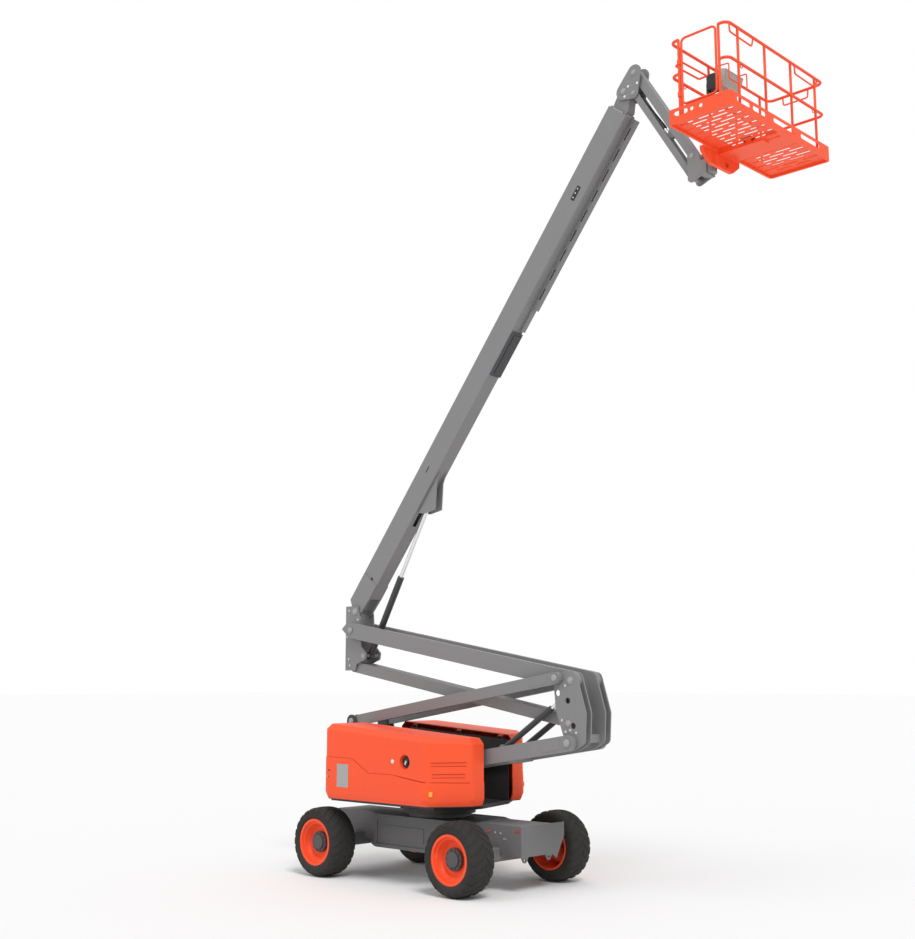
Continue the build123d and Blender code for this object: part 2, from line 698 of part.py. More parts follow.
with BuildPart() as upright:
    with BuildSketch(*pair((0, 0), inner_plate)):
        with BuildLine():
            Polyline(
                (-1970, 3020), (-1730, 3020), (-1700, 3120), (-1500, 3190), (-1480, 3290), (-1600, 3400),
                (-1640, 3650), (-1660, 3900), (-1690, 4040), (-1970, 4040), (-1970, 3760), (-2070, 3680),
                (-1970, 3600), close=True)
        make_face()
    extrude(amount=lane_width(inner_plate))
    stub_pins(upper_arm_tail, riser_pin_radius, inner_plate[1] - 1, upper_arm_lane[1] + 8)
    for point in (upper_link_tail, boom_pivot, boom_cylinder_foot):
        cross_pin(point, riser_pin_radius, inner_plate[0] + 1)
    cross_box((-1940, 3350), 40, 400, inner_plate[0] + 1)
finish(upright, "upright")

riser_cylinder_angle = slope(riser_gusset_pin, riser_rod_pin)
riser_cylinder_y = 210


def cylinder_barrel(foot, angle, y_centres, length, radius, eye_radius, eye_half, pin_radius, bore):
    """Cylinder barrels with an eye at the foot and a bore open at the far end."""
    for y in y_centres:
        with BuildSketch(side_plane(foot, y + eye_half)) as profile:
            Circle(eye_radius)
        extrude(profile.sketch, amount=2 * eye_half)
        start = Plane(origin=(foot[0], y, foot[1]), x_dir=(0, 1, 0),
                      z_dir=(cos(radians(angle)), 0, sin(radians(angle))))
        with BuildSketch(start.offset(eye_radius - 8)) as profile:
            Circle(radius)
        extrude(profile.sketch, amount=length - eye_radius + 8)
        with BuildSketch(start.offset(eye_radius + 40)) as profile:
            Circle(bore)
        extrude(profile.sketch, amount=length, mode=Mode.SUBTRACT)
        with BuildSketch(side_plane(foot, y + eye_half + 1)) as profile:
            Circle(pin_radius + fit)
        extrude(profile.sketch, amount=2 * eye_half + 2, mode=Mode.SUBTRACT)


def cylinder_rod(foot, eye, y_centres, tail, radius, eye_radius, eye_half):
    """Cylinder rods from a piston in the barrel to an eye with its pin."""
    angle = slope(foot, eye)
    length = distance(foot, eye)
    for y in y_centres:
        start = Plane(origin=(foot[0], y, foot[1]), x_dir=(0, 1, 0),
                      z_dir=(cos(radians(angle)), 0, sin(radians(angle))))
        with BuildSketch(start.offset(tail)) as profile:
            Circle(radius)
        extrude(profile.sketch, amount=length - tail)
        with BuildSketch(side_plane(eye, y + eye_half)) as profile:
            Circle(eye_radius)
        extrude(profile.sketch, amount=2 * eye_half)


riser_ys = (-riser_cylinder_y, riser_cylinder_y)
with BuildPart() as riser_barrels:
    cylinder_barrel(riser_gusset_pin, riser_cylinder_angle, riser_ys, 1030, 42, 45, 30, 25, 24 + fit)
finish(riser_barrels, "riser_barrels")
with BuildPart() as riser_rods:
    cylinder_rod(riser_gusset_pin, riser_rod_pin, riser_ys, 400, 24, 42, 30)
finish(riser_rods, "riser_rods")

# ---------------------------------------------------------------- boom sections
boom_axis_height = (boom_above - boom_below) / 2
boom_depth = boom_above + boom_below


def boom_plane(along):
    """Plane across the boom: local x is the machine's left, local y is away from the underside."""
    x, z = boom_point(along, boom_axis_height)
    c, s = cos(radians(boom_angle)), sin(radians(boom_angle))
    return Plane(origin=(x, 0, z), x_dir=(0, 1, 0), z_dir=(c, 0, s))


def boom_tube(rear, front, width, depth, wall):
    """A box section along the boom, open at both ends."""
    with BuildSketch(boom_plane(rear)) as profile:
        RectangleRounded(width, depth, 16)
        RectangleRounded(width - 2 * wall, depth - 2 * wall, 6, mode=Mode.SUBTRACT)
    extrude(profile.sketch, amount=front - rear)


mid_width = boom_width - 2 * boom_wall - 2 * section_gap
mid_depth = boom_depth - 2 * boom_wall - 2 * section_gap
mid_wall = 8
fly_width = mid_width - 2 * mid_wall - 2 * section_gap
fly_depth = mid_depth - 2 * mid_wall - 2 * section_gap
tube_rear = 330
with BuildPart() as boom_base:
    boom_tube(tube_rear, boom_length, boom_width, boom_depth, boom_wall)
    # foot cheeks that run back to the pivot
    with BuildSketch(*pair(boom_pivot, (100, 133), boom_angle)):
        Circle(90)
        with BuildLine():
            Polyline((-20, -88), (tube_rear, -boom_below + 4), (tube_rear + 260, -boom_below + 4),
                     (tube_rear + 260, boom_above - 20), (60, boom_above - 20), (-40, 85), close=True)
        make_face()
    extrude(amount=33)
    cross_pin(boom_pivot, riser_pin_radius + fit, 140, Mode.SUBTRACT)
    # front collar that guides the next section
    with BuildSketch(boom_plane(boom_length - 160)):
        RectangleRounded(boom_width - 2, boom_depth - 2, 15)
        RectangleRounded(mid_width + 2 * seat, mid_depth + 2 * seat, 16 + seat, mode=Mode.SUBTRACT)
    extrude(amount=160)
    # slot that the lift cylinder's eye swings through
    slot_x, slot_z = boom_point(2060, -boom_below)
    cross_box((slot_x, slot_z), 640, 3 * boom_wall, 40, boom_angle, Mode.SUBTRACT)
    # bracket for the lift cylinder
    with BuildSketch(*pair(boom_pivot, (60, 78), boom_angle)):
        with BuildLine():
            Polyline(
                (1990, -boom_below + 4), (2060, -235), (2250, -400), (2585, -170), (2800, -boom_below + 4),
                close=True)
        make_face()
    extrude(amount=18)
finish(boom_base, "boom_base")

with BuildPart() as boom_mid:
    mid_front = boom_length + 25
    boom_tube(inner_rear, mid_front, mid_width, mid_depth, mid_wall)
    with BuildSketch(boom_plane(mid_front - 160)):
        RectangleRounded(mid_width - 2, mid_depth - 2, 15)
        RectangleRounded(fly_width + 2 * seat, fly_depth + 2 * seat, 16 + seat, mode=Mode.SUBTRACT)
    extrude(amount=160)
    # rear wear shoes
    with BuildSketch(boom_plane(inner_rear)):
        RectangleRounded(boom_width - 2 * boom_wall - 2 * seat, boom_depth - 2 * boom_wall - 2 * seat, 7)
        Rectangle(mid_width - 2 * mid_wall, mid_depth - 2 * mid_wall, mode=Mode.SUBTRACT)
    extrude(amount=120)
finish(boom_mid, "boom_mid")

nose_start = mid_front + 10
with BuildPart() as boom_fly:
    boom_tube(inner_rear, nose_start + 30, fly_width, fly_depth, 7)
    with BuildSketch(boom_plane(inner_rear)):
        RectangleRounded(mid_width - 2 * mid_wall - 2 * seat, mid_depth - 2 * mid_wall - 2 * seat, 7)
        Rectangle(fly_width - 14, fly_depth - 14, mode=Mode.SUBTRACT)
    extrude(amount=120)
    # solid nose with the head pin
    with BuildSketch(side_plane(boom_point(nose_start, boom_axis_height), fly_width / 2, boom_angle)):
        with Locations((15, 0)):
            Rectangle(30, fly_depth)
        along = distance(boom_point(nose_start, boom_axis_height), head_pin)
        turn = radians(slope(boom_point(nose_start, boom_axis_height), head_pin) - boom_angle)
        with Locations((along * cos(turn), along * sin(turn))):
            Circle(head_radius)
        make_hull()
    extrude(amount=fly_width)
    cross_pin(head_pin, riser_pin_radius + fit, fly_width, Mode.SUBTRACT)
finish(boom_fly, "boom_fly")

with BuildPart() as cable_tray:
    for rear, front, depth in tray_tiers:
        with BuildSketch(boom_plane(rear)):
            with Locations((tray_y, -boom_depth / 2 - seat - depth / 2)):
                Rectangle(tray_width, depth)
            with Locations((tray_y, -boom_depth / 2 - seat - (depth - tray_wall) / 2)):
                Rectangle(tray_width - 2 * tray_wall, depth - tray_wall, mode=Mode.SUBTRACT)
        extrude(amount=front - rear)
    # row of slots near the lower edge
    rear, front, depth = tray_tiers[-1]
    for k in range(int((front - rear) / tray_pitch)):
        middle = boom_point(front - tray_pitch * (k + 0.7), -boom_below - seat - depth + 26)
        with BuildSketch(side_plane(middle, tray_y + tray_width / 2 + 1, boom_angle)):
            Rectangle(tray_pitch - 135, 22)
        extrude(amount=tray_width + 2, mode=Mode.SUBTRACT)
finish(cable_tray, "cable_tray")

# ---------------------------------------------------------------- boom lift cylinder
boom_rod_point = boom_point(*boom_rod_pin)
boom_cylinder_angle = slope(boom_cylinder_foot, boom_rod_point)
with BuildPart() as boom_barrel:
    cylinder_barrel(
        boom_cylinder_foot, boom_cylinder_angle, (0,), 1400, 52, 58, 45, riser_pin_radius, 32 + fit)
finish(boom_barrel, "boom_barrel")
with BuildPart() as boom_rod:
    cylinder_rod(boom_cylinder_foot, boom_rod_point, (0,), boom_rod_tail, 32, 45, 30)
finish(boom_rod, "boom_rod")

# ---------------------------------------------------------------- head and jib
with BuildPart() as jib_mount:
    hull_plates([(*head_pin, 125), (*jib_pin, 115), (*jib_link_pin, 75)], head_cheek)
    for point in (head_pin, jib_pin, jib_link_pin):
        cross_pin(point, riser_pin_radius, head_cheek[0] + 1)
finish(jib_mount, "jib_mount")

jib_half = jib_arm_width / 2


def jib_point(along, above):
    """Side-view point at a distance along the jib arm and above its centre line."""
    c, s = cos(radians(jib_angle)), sin(radians(jib_angle))
    return (jib_pin[0] + along * c - above * s, jib_pin[1] + along * s + above * c)


jib_rod_point = jib_point(*jib_rod_pin)
with BuildPart() as jib_arm:
    with BuildSketch(side_plane(jib_pin, jib_half, jib_angle)):
        with Locations((jib_length / 2, 0)):
            SlotCenterToCenter(jib_length, jib_arm_depth)
    extrude(amount=jib_arm_width)
    for point in (jib_pin, jib_end_pin):
        cross_pin(point, riser_pin_radius + fit, jib_half + 1, Mode.SUBTRACT)
    hull_plates([(jib_rod_pin[0], jib_rod_pin[1], 38), (jib_rod_pin[0] - 60, -50, 20),
                 (jib_rod_pin[0] + 60, -50, 20)], (26, 38), jib_pin, jib_angle)
finish(jib_arm, "jib_arm")

with BuildPart() as jib_link:
    with BuildSketch(*pair(jib_link_pin, jib_link_lane, jib_angle)):
        with Locations((jib_length / 2, 0)):
            SlotCenterToCenter(jib_length, jib_link_depth)
    extrude(amount=lane_width(jib_link_lane))
    for point in (jib_link_pin, jib_end_link_pin):
        stub_pins(point, riser_pin_radius + fit, jib_link_lane[0] - 1, jib_link_lane[1] + 1, Mode.SUBTRACT)
finish(jib_link, "jib_link")

jib_cylinder_angle = slope(jib_link_pin, jib_rod_point)
with BuildPart() as jib_barrel:
    cylinder_barrel(jib_link_pin, jib_cylinder_angle, (0,), 760, 36, 48, 40, riser_pin_radius, 20 + fit)
finish(jib_barrel, "jib_barrel")
with BuildPart() as jib_rod:
    cylinder_rod(jib_link_pin, jib_rod_point, (0,), 150, 20, 32, 24)
finish(jib_rod, "jib_rod")

rotator_z = platform_bottom - 60
with BuildPart() as jib_end:
    hull_plates([(*jib_end_pin, 75), (*jib_end_link_pin, 60), (rotator_x - 80, rotator_z - 125, 60)], head_cheek)
    for point in (jib_end_pin, jib_end_link_pin):
        cross_pin(point, riser_pin_radius, head_cheek[0] + 1)
    with Locations((rotator_x - 60, 0, rotator_z - 80)):
        Box(110, 2 * head_cheek[1], 200)
    with BuildSketch(Plane.XY.offset(rotator_z - 160)):
        with Locations((rotator_x, 0)):
            Circle(80)
    extrude(amount=160 + 30)
finish(jib_end, "jib_end")

# ---------------------------------------------------------------- platform
platform_front = platform_rear + platform_depth
platform_centre = (platform_rear + platform_front) / 2
half_platform = platform_width / 2
floor_top = platform_bottom + floor_thickness
with BuildPart() as platform_support:
    with BuildSketch(Plane.XY.offset(rotator_z + 30 + seat)):
        with Locations((rotator_x, 0)):
            Circle(85)
        with Locations(((rotator_x + platform_centre + 200) / 2, 0)):
            Rectangle(platform_centre + 200 - rotator_x, 150)
    extrude(amount=30 - seat)
    # apron along the floor's rear edge, with a cable hole
    with BuildSketch(Plane(origin=(platform_rear - seat, 0, platform_bottom - seat), x_dir=(0, 1, 0),
                           z_dir=(-1, 0, 0))):
        with BuildLine():
            FilletPolyline(
                (-apron_reach, 0), (apron_reach, 0), (apron_reach, 70), (apron_reach - 170, apron_depth),
                (170 - apron_reach, apron_depth), (-apron_reach, 70), radius=[2, 2, 60, 60, 60, 60],
                close=True)
        make_face()
        with Locations((120, 110)):
            Circle(42, mode=Mode.SUBTRACT)
    extrude(amount=platform_gap - seat - 115)
finish(platform_support, "platform_support")

with BuildPart() as platform_floor:
    with BuildSketch(Plane.XY.offset(platform_bottom)):
        with Locations((platform_centre, 0)):
            RectangleRounded(platform_depth, platform_width, 60)
    extrude(amount=floor_thickness - tread_plate)
    # tread plate inside the toe boards and posts
    with BuildSketch(Plane.XY.offset(floor_top - tread_plate)):
        with Locations((platform_centre, 0)):
            Rectangle(platform_depth - 2 * tread_inset, platform_width - 2 * tread_inset)
    extrude(amount=tread_plate)
    # two fields of drain slots, the rows staggered, with a plain cross beam between them
    with BuildSketch(Plane.XY.offset(platform_bottom)):
        for start, rows in slot_fields:
            for row in range(rows):
                for x in ((-290, 0, 290), (-145, 145))[row % 2]:
                    with Locations((platform_centre + x, start + row * slot_pitch)):
                        Rectangle(slot_length, slot_width)
    extrude(amount=floor_thickness, mode=Mode.SUBTRACT)
finish(platform_floor, "platform_floor")

with BuildPart() as toe_boards:
    with BuildSketch(Plane.XY.offset(floor_top - tread_plate)):
        with Locations((platform_centre, 0)):
            RectangleRounded(platform_depth, platform_width, 60)
            RectangleRounded(platform_depth - 8, platform_width - 8, 56, mode=Mode.SUBTRACT)
    extrude(amount=toe_height + tread_plate)
    with BuildSketch(Plane(origin=(platform_front - 10, 0, floor_top + toe_height / 2), x_dir=(0, 1, 0),
                           z_dir=(1, 0, 0))):
        for y, length in toe_slots:
            with Locations((y, 0)):
                SlotOverall(length, toe_slot_height)
    extrude(amount=20, mode=Mode.SUBTRACT)
    with BuildSketch(Plane(origin=(platform_rear, 10 - half_platform, floor_top + toe_height / 2),
                           x_dir=(1, 0, 0), z_dir=(0, -1, 0))):
        with Locations((200, 0)):
            SlotOverall(200, toe_slot_height)
        for x in toe_holes:
            with Locations((x, 0)):
                Circle(24)
    extrude(amount=20, mode=Mode.SUBTRACT)
finish(toe_boards, "toe_boards")

rail_inset = 24 + rail_tube
rail_top = platform_bottom + rail_height - rail_tube
rail_middle = (rail_top + floor_top + toe_height) / 2
rail_half_x = platform_depth / 2 - rail_inset
rail_half_y = half_platform - rail_inset
gate_half = 290       # half the gateway in the short right-hand side
gate_gap = 8
gate_tube = 15
post_tube = 17
rail_corner = 90


def tube_run(path, radius):
    """Round tube along a path of lines and arcs."""
    for edge in path.edges():
        with BuildSketch(Plane(origin=edge @ 0, z_dir=edge % 0)) as profile:
            Circle(radius)
        sweep(profile.sketch, path=edge)


with BuildPart() as platform_rails:
    for z in (rail_top, rail_middle):
        with BuildLine(Plane.XY.offset(z)) as rail_path:
            FilletPolyline(
                (platform_centre - gate_half, -rail_half_y), (platform_centre - rail_half_x, -rail_half_y),
                (platform_centre - rail_half_x, rail_half_y), (platform_centre + rail_half_x, rail_half_y),
                (platform_centre + rail_half_x, -rail_half_y), (platform_centre + gate_half, -rail_half_y),
                radius=rail_corner)
        tube_run(rail_path.line, rail_tube)
    posts = [(x * rail_half_x, y * rail_half_y) for x in (-1, 1) for y in (-0.8, -0.27, 0.27, 0.8)]
    posts += [(x * gate_half, -rail_half_y) for x in (-1, 1)]
    for x, y in posts:
        with BuildSketch(Plane.XY.offset(floor_top - tread_plate)):
            with Locations((platform_centre + x, y)):
                Circle(post_tube)
        extrude(amount=rail_top - floor_top + tread_plate)
finish(platform_rails, "platform_rails")

hinge_post = platform_centre - gate_half
gate_near = hinge_post + rail_tube + gate_gap + gate_tube
gate_far = platform_centre + gate_half - rail_tube - gate_gap - gate_tube
with BuildPart() as gate:
    with BuildLine(Plane(origin=(0, -rail_half_y, 0), x_dir=(1, 0, 0), z_dir=(0, -1, 0))) as frame_path:
        FilletPolyline(
            (gate_near, floor_top + toe_height + 40), (gate_far, floor_top + toe_height + 40),
            (gate_far, rail_top), (gate_near, rail_top), radius=60, close=True)
    tube_run(frame_path.line, gate_tube)
    # collars that turn on the hinge post
    for z in (floor_top + toe_height + 150, rail_middle + 120):
        with BuildSketch(Plane.XY.offset(z)):
            with Locations((hinge_post, -rail_half_y)):
                Circle(post_tube + 9)
            with Locations(((hinge_post + gate_near) / 2, -rail_half_y)):
                Rectangle(gate_near - hinge_post, 16)
            with Locations((hinge_post, -rail_half_y)):
                Circle(post_tube + fit, mode=Mode.SUBTRACT)
        extrude(amount=60)
finish(gate, "platform_gate")

console_height = 260
console_rear = platform_rear + rail_inset + rail_tube + seat
strap_foot = rail_middle + rail_tube + seat
with BuildPart() as console:
    with Locations((console_rear + 90, 0, rail_top - console_height / 2)):
        Box(180, 420, console_height)
    # strap that stands on the middle rail
    strap_top = rail_top - console_height + 1
    with Locations((console_rear - 10, 0, (strap_foot + strap_top) / 2)):
        Box(45, 60, strap_top - strap_foot)
finish(console, "control_console")
print("built", len(os.listdir("parts")), "parts")
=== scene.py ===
"""Finishes and fine pieces of an articulating boom lift, built over its CAD frame."""

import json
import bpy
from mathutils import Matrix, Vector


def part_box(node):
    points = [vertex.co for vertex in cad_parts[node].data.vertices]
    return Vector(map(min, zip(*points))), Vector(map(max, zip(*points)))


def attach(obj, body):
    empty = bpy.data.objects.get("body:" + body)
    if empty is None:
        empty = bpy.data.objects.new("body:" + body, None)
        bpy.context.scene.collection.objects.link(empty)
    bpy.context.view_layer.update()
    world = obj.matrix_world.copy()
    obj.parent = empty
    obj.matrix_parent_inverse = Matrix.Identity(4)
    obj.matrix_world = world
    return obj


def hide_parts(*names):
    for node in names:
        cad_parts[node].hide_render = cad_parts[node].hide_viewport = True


bl_info = {
    "name": "Articulating boom lift",
    "version": (1, 0, 0),
    "blender": (4, 5, 0),
    "location": "View3D > Sidebar > Boom lift",
    "description": "Paints the boom lift, adds its fine pieces and lights a plain studio",
    "category": "Object",
}
from math import atan2, cos, degrees, hypot, pi, radians, sin, tan

import bpy
from mathutils import Vector

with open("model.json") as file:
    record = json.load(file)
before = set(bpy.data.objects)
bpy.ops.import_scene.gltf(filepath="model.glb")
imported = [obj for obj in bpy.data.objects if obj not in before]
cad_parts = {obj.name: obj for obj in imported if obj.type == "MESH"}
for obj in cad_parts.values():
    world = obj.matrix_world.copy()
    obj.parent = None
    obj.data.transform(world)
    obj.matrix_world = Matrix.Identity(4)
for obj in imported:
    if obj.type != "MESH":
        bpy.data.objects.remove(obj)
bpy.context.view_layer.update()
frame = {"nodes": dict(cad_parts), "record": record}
record = frame["record"]
body_of_node = {n: b for b, ns in record["behaviour"]["bodies"].items() for n in ns}
slot_of_node = {s["node"]: s["material_slot"] for s in record["subparts"]}
joints = {j["name"]: j for j in record["behaviour"]["joints"]}
made = {}
corners = ("front_right", "front_left", "rear_right", "rear_left")
# bend's x, nose's x and the nose's distance from the centre plane, per hood
hood_noses = {"right": (0.90, 1.31, 0.66), "left": (0.60, 1.08, 0.66)}
link_head = (2.547, 2.902)      # lower link's head pin on the knuckle (x, z)


# ---------------------------------------------------------------- settings
class WheelSettings(bpy.types.PropertyGroup):
    """Sizes of the tread and the hubs."""

    tread_blocks: bpy.props.IntProperty(
        name="Tread blocks", description="Blocks on each side of the tyre", default=22, min=8, max=40)
    tread_depth: bpy.props.FloatProperty(
        name="Tread depth", description="Height of the tread blocks", default=0.008, min=0.002, max=0.03,
        unit="LENGTH")
    tread_lean: bpy.props.FloatProperty(
        name="Tread lean", description="Lean of the tread blocks in degrees", default=36, min=0, max=60)
    hub_radius: bpy.props.FloatProperty(
        name="Hub radius", description="Radius of the dark hub", default=0.152, min=0.05, max=0.2,
        unit="LENGTH")
    bolts: bpy.props.IntProperty(
        name="Wheel bolts", description="Bolts round each hub", default=10, min=4, max=16)


class StageSettings(bpy.types.PropertyGroup):
    """The floor, the lamps and the camera."""

    floor_tone: bpy.props.FloatVectorProperty(
        name="Floor", description="Colour of the studio floor", default=(0.93, 0.93, 0.93),
        subtype="COLOR", min=0, max=1)
    lens: bpy.props.FloatProperty(
        name="Lens", description="Focal length on a 36 mm sensor", default=49.485, min=20, max=200)
    sky: bpy.props.FloatProperty(
        name="Sky", description="Strength of the even light from all round", default=0.55, min=0, max=2)
    key: bpy.props.FloatProperty(
        name="Key lamp", description="Strength of the soft sun lamp", default=1.55, min=0, max=6)
    fill: bpy.props.FloatProperty(
        name="Fill lamp", description="Strength of the second sun lamp", default=0.55, min=0, max=6)


class PaintSettings(bpy.types.PropertyGroup):
    """Colours of the machine's finishes."""

    orange: bpy.props.FloatVectorProperty(
        name="Hood orange", description="Paint of the hoods, rims and platform",
        default=(0.94, 0.095, 0.028), subtype="COLOR", min=0, max=1)
    grey: bpy.props.FloatVectorProperty(
        name="Boom grey", description="Paint of the boom, riser and jib",
        default=(0.225, 0.225, 0.23), subtype="COLOR", min=0, max=1)
    chassis: bpy.props.FloatVectorProperty(
        name="Chassis grey", description="Paint of the chassis and axles",
        default=(0.15, 0.15, 0.155), subtype="COLOR", min=0, max=1)
    dark: bpy.props.FloatVectorProperty(
        name="Turntable grey", description="Paint of the turntable", default=(0.052, 0.051, 0.050),
        subtype="COLOR", min=0, max=1)
    cylinder: bpy.props.FloatVectorProperty(
        name="Cylinder black", description="Paint of the lift cylinders", default=(0.045, 0.045, 0.045),
        subtype="COLOR", min=0, max=1)
    rubber: bpy.props.FloatVectorProperty(
        name="Rubber", description="Tyre rubber", default=(0.022, 0.022, 0.022),
        subtype="COLOR", min=0, max=1)


# ---------------------------------------------------------------- finishes
def link(tree, a, a_socket, b, b_socket):
    tree.links.new(a.outputs[a_socket], b.inputs[b_socket])


def new_node(tree, kind, x, y, **values):
    """A shader node at a place in the tree, with its properties or sockets set."""
    node = tree.nodes.new(kind)
    node.location = (x, y)
    for key, value in values.items():
        if hasattr(node, key):
            setattr(node, key, value)
        else:
            node.inputs[key.replace("_", " ").title()].default_value = value
    return node


def grain_group():
    """Node group: the fine unevenness that sprayed paint, castings and rubber have."""
    if "sprayed_grain" in bpy.data.node_groups:
        return bpy.data.node_groups["sprayed_grain"]
    tree = bpy.data.node_groups.new("sprayed_grain", "ShaderNodeTree")
    face = tree.interface
    for name, kind, value in (
            ("Scale", "NodeSocketFloat", 180.0), ("Height", "NodeSocketFloat", 0.04)):
        face.new_socket(name, in_out="INPUT", socket_type=kind).default_value = value
    face.new_socket("Normal", in_out="OUTPUT", socket_type="NodeSocketVector")
    face.new_socket("Shade", in_out="OUTPUT", socket_type="NodeSocketFloat")
    entry = new_node(tree, "NodeGroupInput", -700, 0)
    leave = new_node(tree, "NodeGroupOutput", 400, 0)
    place = new_node(tree, "ShaderNodeTexCoord", -700, 260)
    fine = new_node(tree, "ShaderNodeTexNoise", -450, 120)
    fine.inputs["Detail"].default_value = 3.0
    wide = new_node(tree, "ShaderNodeTexNoise", -450, -160)
    wide.inputs["Scale"].default_value = 1.7
    wide.inputs["Detail"].default_value = 5.0
    wide.inputs["Roughness"].default_value = 0.62
    bump = new_node(tree, "ShaderNodeBump", 120, 60)
    bump.inputs["Distance"].default_value = 0.002
    link(tree, place, "Object", fine, "Vector")
    link(tree, place, "Object", wide, "Vector")
    link(tree, entry, "Scale", fine, "Scale")
    link(tree, entry, "Height", bump, "Strength")
    link(tree, fine, "Fac", bump, "Height")
    link(tree, bump, "Normal", leave, "Normal")
    link(tree, wide, "Fac", leave, "Shade")
    return tree


def dust_group():
    """Node group: dust that settles low on the machine and on faces that look up."""
    if "settled_dust" in bpy.data.node_groups:
        return bpy.data.node_groups["settled_dust"]
    tree = bpy.data.node_groups.new("settled_dust", "ShaderNodeTree")
    face = tree.interface
    face.new_socket("Paint", in_out="INPUT", socket_type="NodeSocketColor")
    face.new_socket("Amount", in_out="INPUT", socket_type="NodeSocketFloat").default_value = 0.2
    face.new_socket("Colour", in_out="OUTPUT", socket_type="NodeSocketColor")
    face.new_socket("Cover", in_out="OUTPUT", socket_type="NodeSocketFloat")
    entry = new_node(tree, "NodeGroupInput", -900, 0)
    leave = new_node(tree, "NodeGroupOutput", 500, 0)
    place = new_node(tree, "ShaderNodeTexCoord", -900, 300)
    split = new_node(tree, "ShaderNodeSeparateXYZ", -700, 300)
    low = new_node(tree, "ShaderNodeMapRange", -500, 300)
    low.inputs["From Min"].default_value = 1.3
    low.inputs["From Max"].default_value = 0.15
    up = new_node(tree, "ShaderNodeSeparateXYZ", -700, 100)
    geometry = new_node(tree, "ShaderNodeNewGeometry", -900, 120)
    blotch = new_node(tree, "ShaderNodeTexNoise", -700, -120)
    blotch.inputs["Scale"].default_value = 6.0
    blotch.inputs["Detail"].default_value = 6.0
    rise = new_node(tree, "ShaderNodeMath", -300, 120, operation="MULTIPLY_ADD")
    rise.inputs[1].default_value = 0.35
    cover = new_node(tree, "ShaderNodeMath", -100, 60, operation="MULTIPLY", use_clamp=True)
    patch = new_node(tree, "ShaderNodeMath", 60, 0, operation="MULTIPLY", use_clamp=True)
    mix = new_node(tree, "ShaderNodeMix", 280, 60, data_type="RGBA")
    mix.inputs["B"].default_value = (0.34, 0.30, 0.25, 1)
    link(tree, place, "Object", split, 0)
    link(tree, place, "Object", blotch, "Vector")
    link(tree, split, "Z", low, "Value")
    link(tree, geometry, "Normal", up, 0)
    tree.links.new(up.outputs["Z"], rise.inputs[0])
    tree.links.new(low.outputs["Result"], rise.inputs[2])
    tree.links.new(rise.outputs[0], cover.inputs[0])
    tree.links.new(blotch.outputs["Fac"], cover.inputs[1])
    tree.links.new(cover.outputs[0], patch.inputs[0])
    tree.links.new(entry.outputs["Amount"], patch.inputs[1])
    tree.links.new(patch.outputs[0], mix.inputs["Factor"])
    tree.links.new(entry.outputs["Paint"], mix.inputs["A"])
    tree.links.new(mix.outputs["Result"], leave.inputs["Colour"])
    tree.links.new(patch.outputs[0], leave.inputs["Cover"])
    return tree


def finish_material(name, colour, roughness, metallic=0.0, grain=180.0, height=0.04, dust=0.15,
                    vary=0.06, coat=0.0, specular=0.5):
    """A material with uneven tone, a fine grain and a little settled dust."""
    material = bpy.data.materials.new(name)
    material.use_nodes = True
    tree = material.node_tree
    shader = tree.nodes["Principled BSDF"]
    shader.inputs["Metallic"].default_value = metallic
    shader.inputs["Specular IOR Level"].default_value = specular
    shader.inputs["Coat Weight"].default_value = coat
    shader.inputs["Coat Roughness"].default_value = 0.12
    skin = new_node(tree, "ShaderNodeGroup", -900, -200)
    skin.node_tree = grain_group()
    skin.inputs["Scale"].default_value = grain
    skin.inputs["Height"].default_value = height
    tone = new_node(tree, "ShaderNodeMix", -600, 200, data_type="RGBA")
    tone.inputs["A"].default_value = tuple(c * (1 - vary) for c in colour) + (1,)
    tone.inputs["B"].default_value = tuple(min(1, c * (1 + vary)) for c in colour) + (1,)
    film = new_node(tree, "ShaderNodeGroup", -350, 200)
    film.node_tree = dust_group()
    film.inputs["Amount"].default_value = dust
    gloss = new_node(tree, "ShaderNodeMapRange", -350, -80)
    gloss.inputs["To Min"].default_value = max(0.02, roughness - 0.06)
    gloss.inputs["To Max"].default_value = min(1, roughness + 0.08)
    dull = new_node(tree, "ShaderNodeMath", -120, -40, operation="ADD", use_clamp=True)
    link(tree, skin, "Shade", tone, "Factor")
    tree.links.new(tone.outputs["Result"], film.inputs["Paint"])
    link(tree, film, "Colour", shader, "Base Color")
    link(tree, skin, "Shade", gloss, "Value")
    tree.links.new(gloss.outputs["Result"], dull.inputs[0])
    tree.links.new(film.outputs["Cover"], dull.inputs[1])
    tree.links.new(dull.outputs[0], shader.inputs["Roughness"])
    link(tree, skin, "Normal", shader, "Normal")
    return material


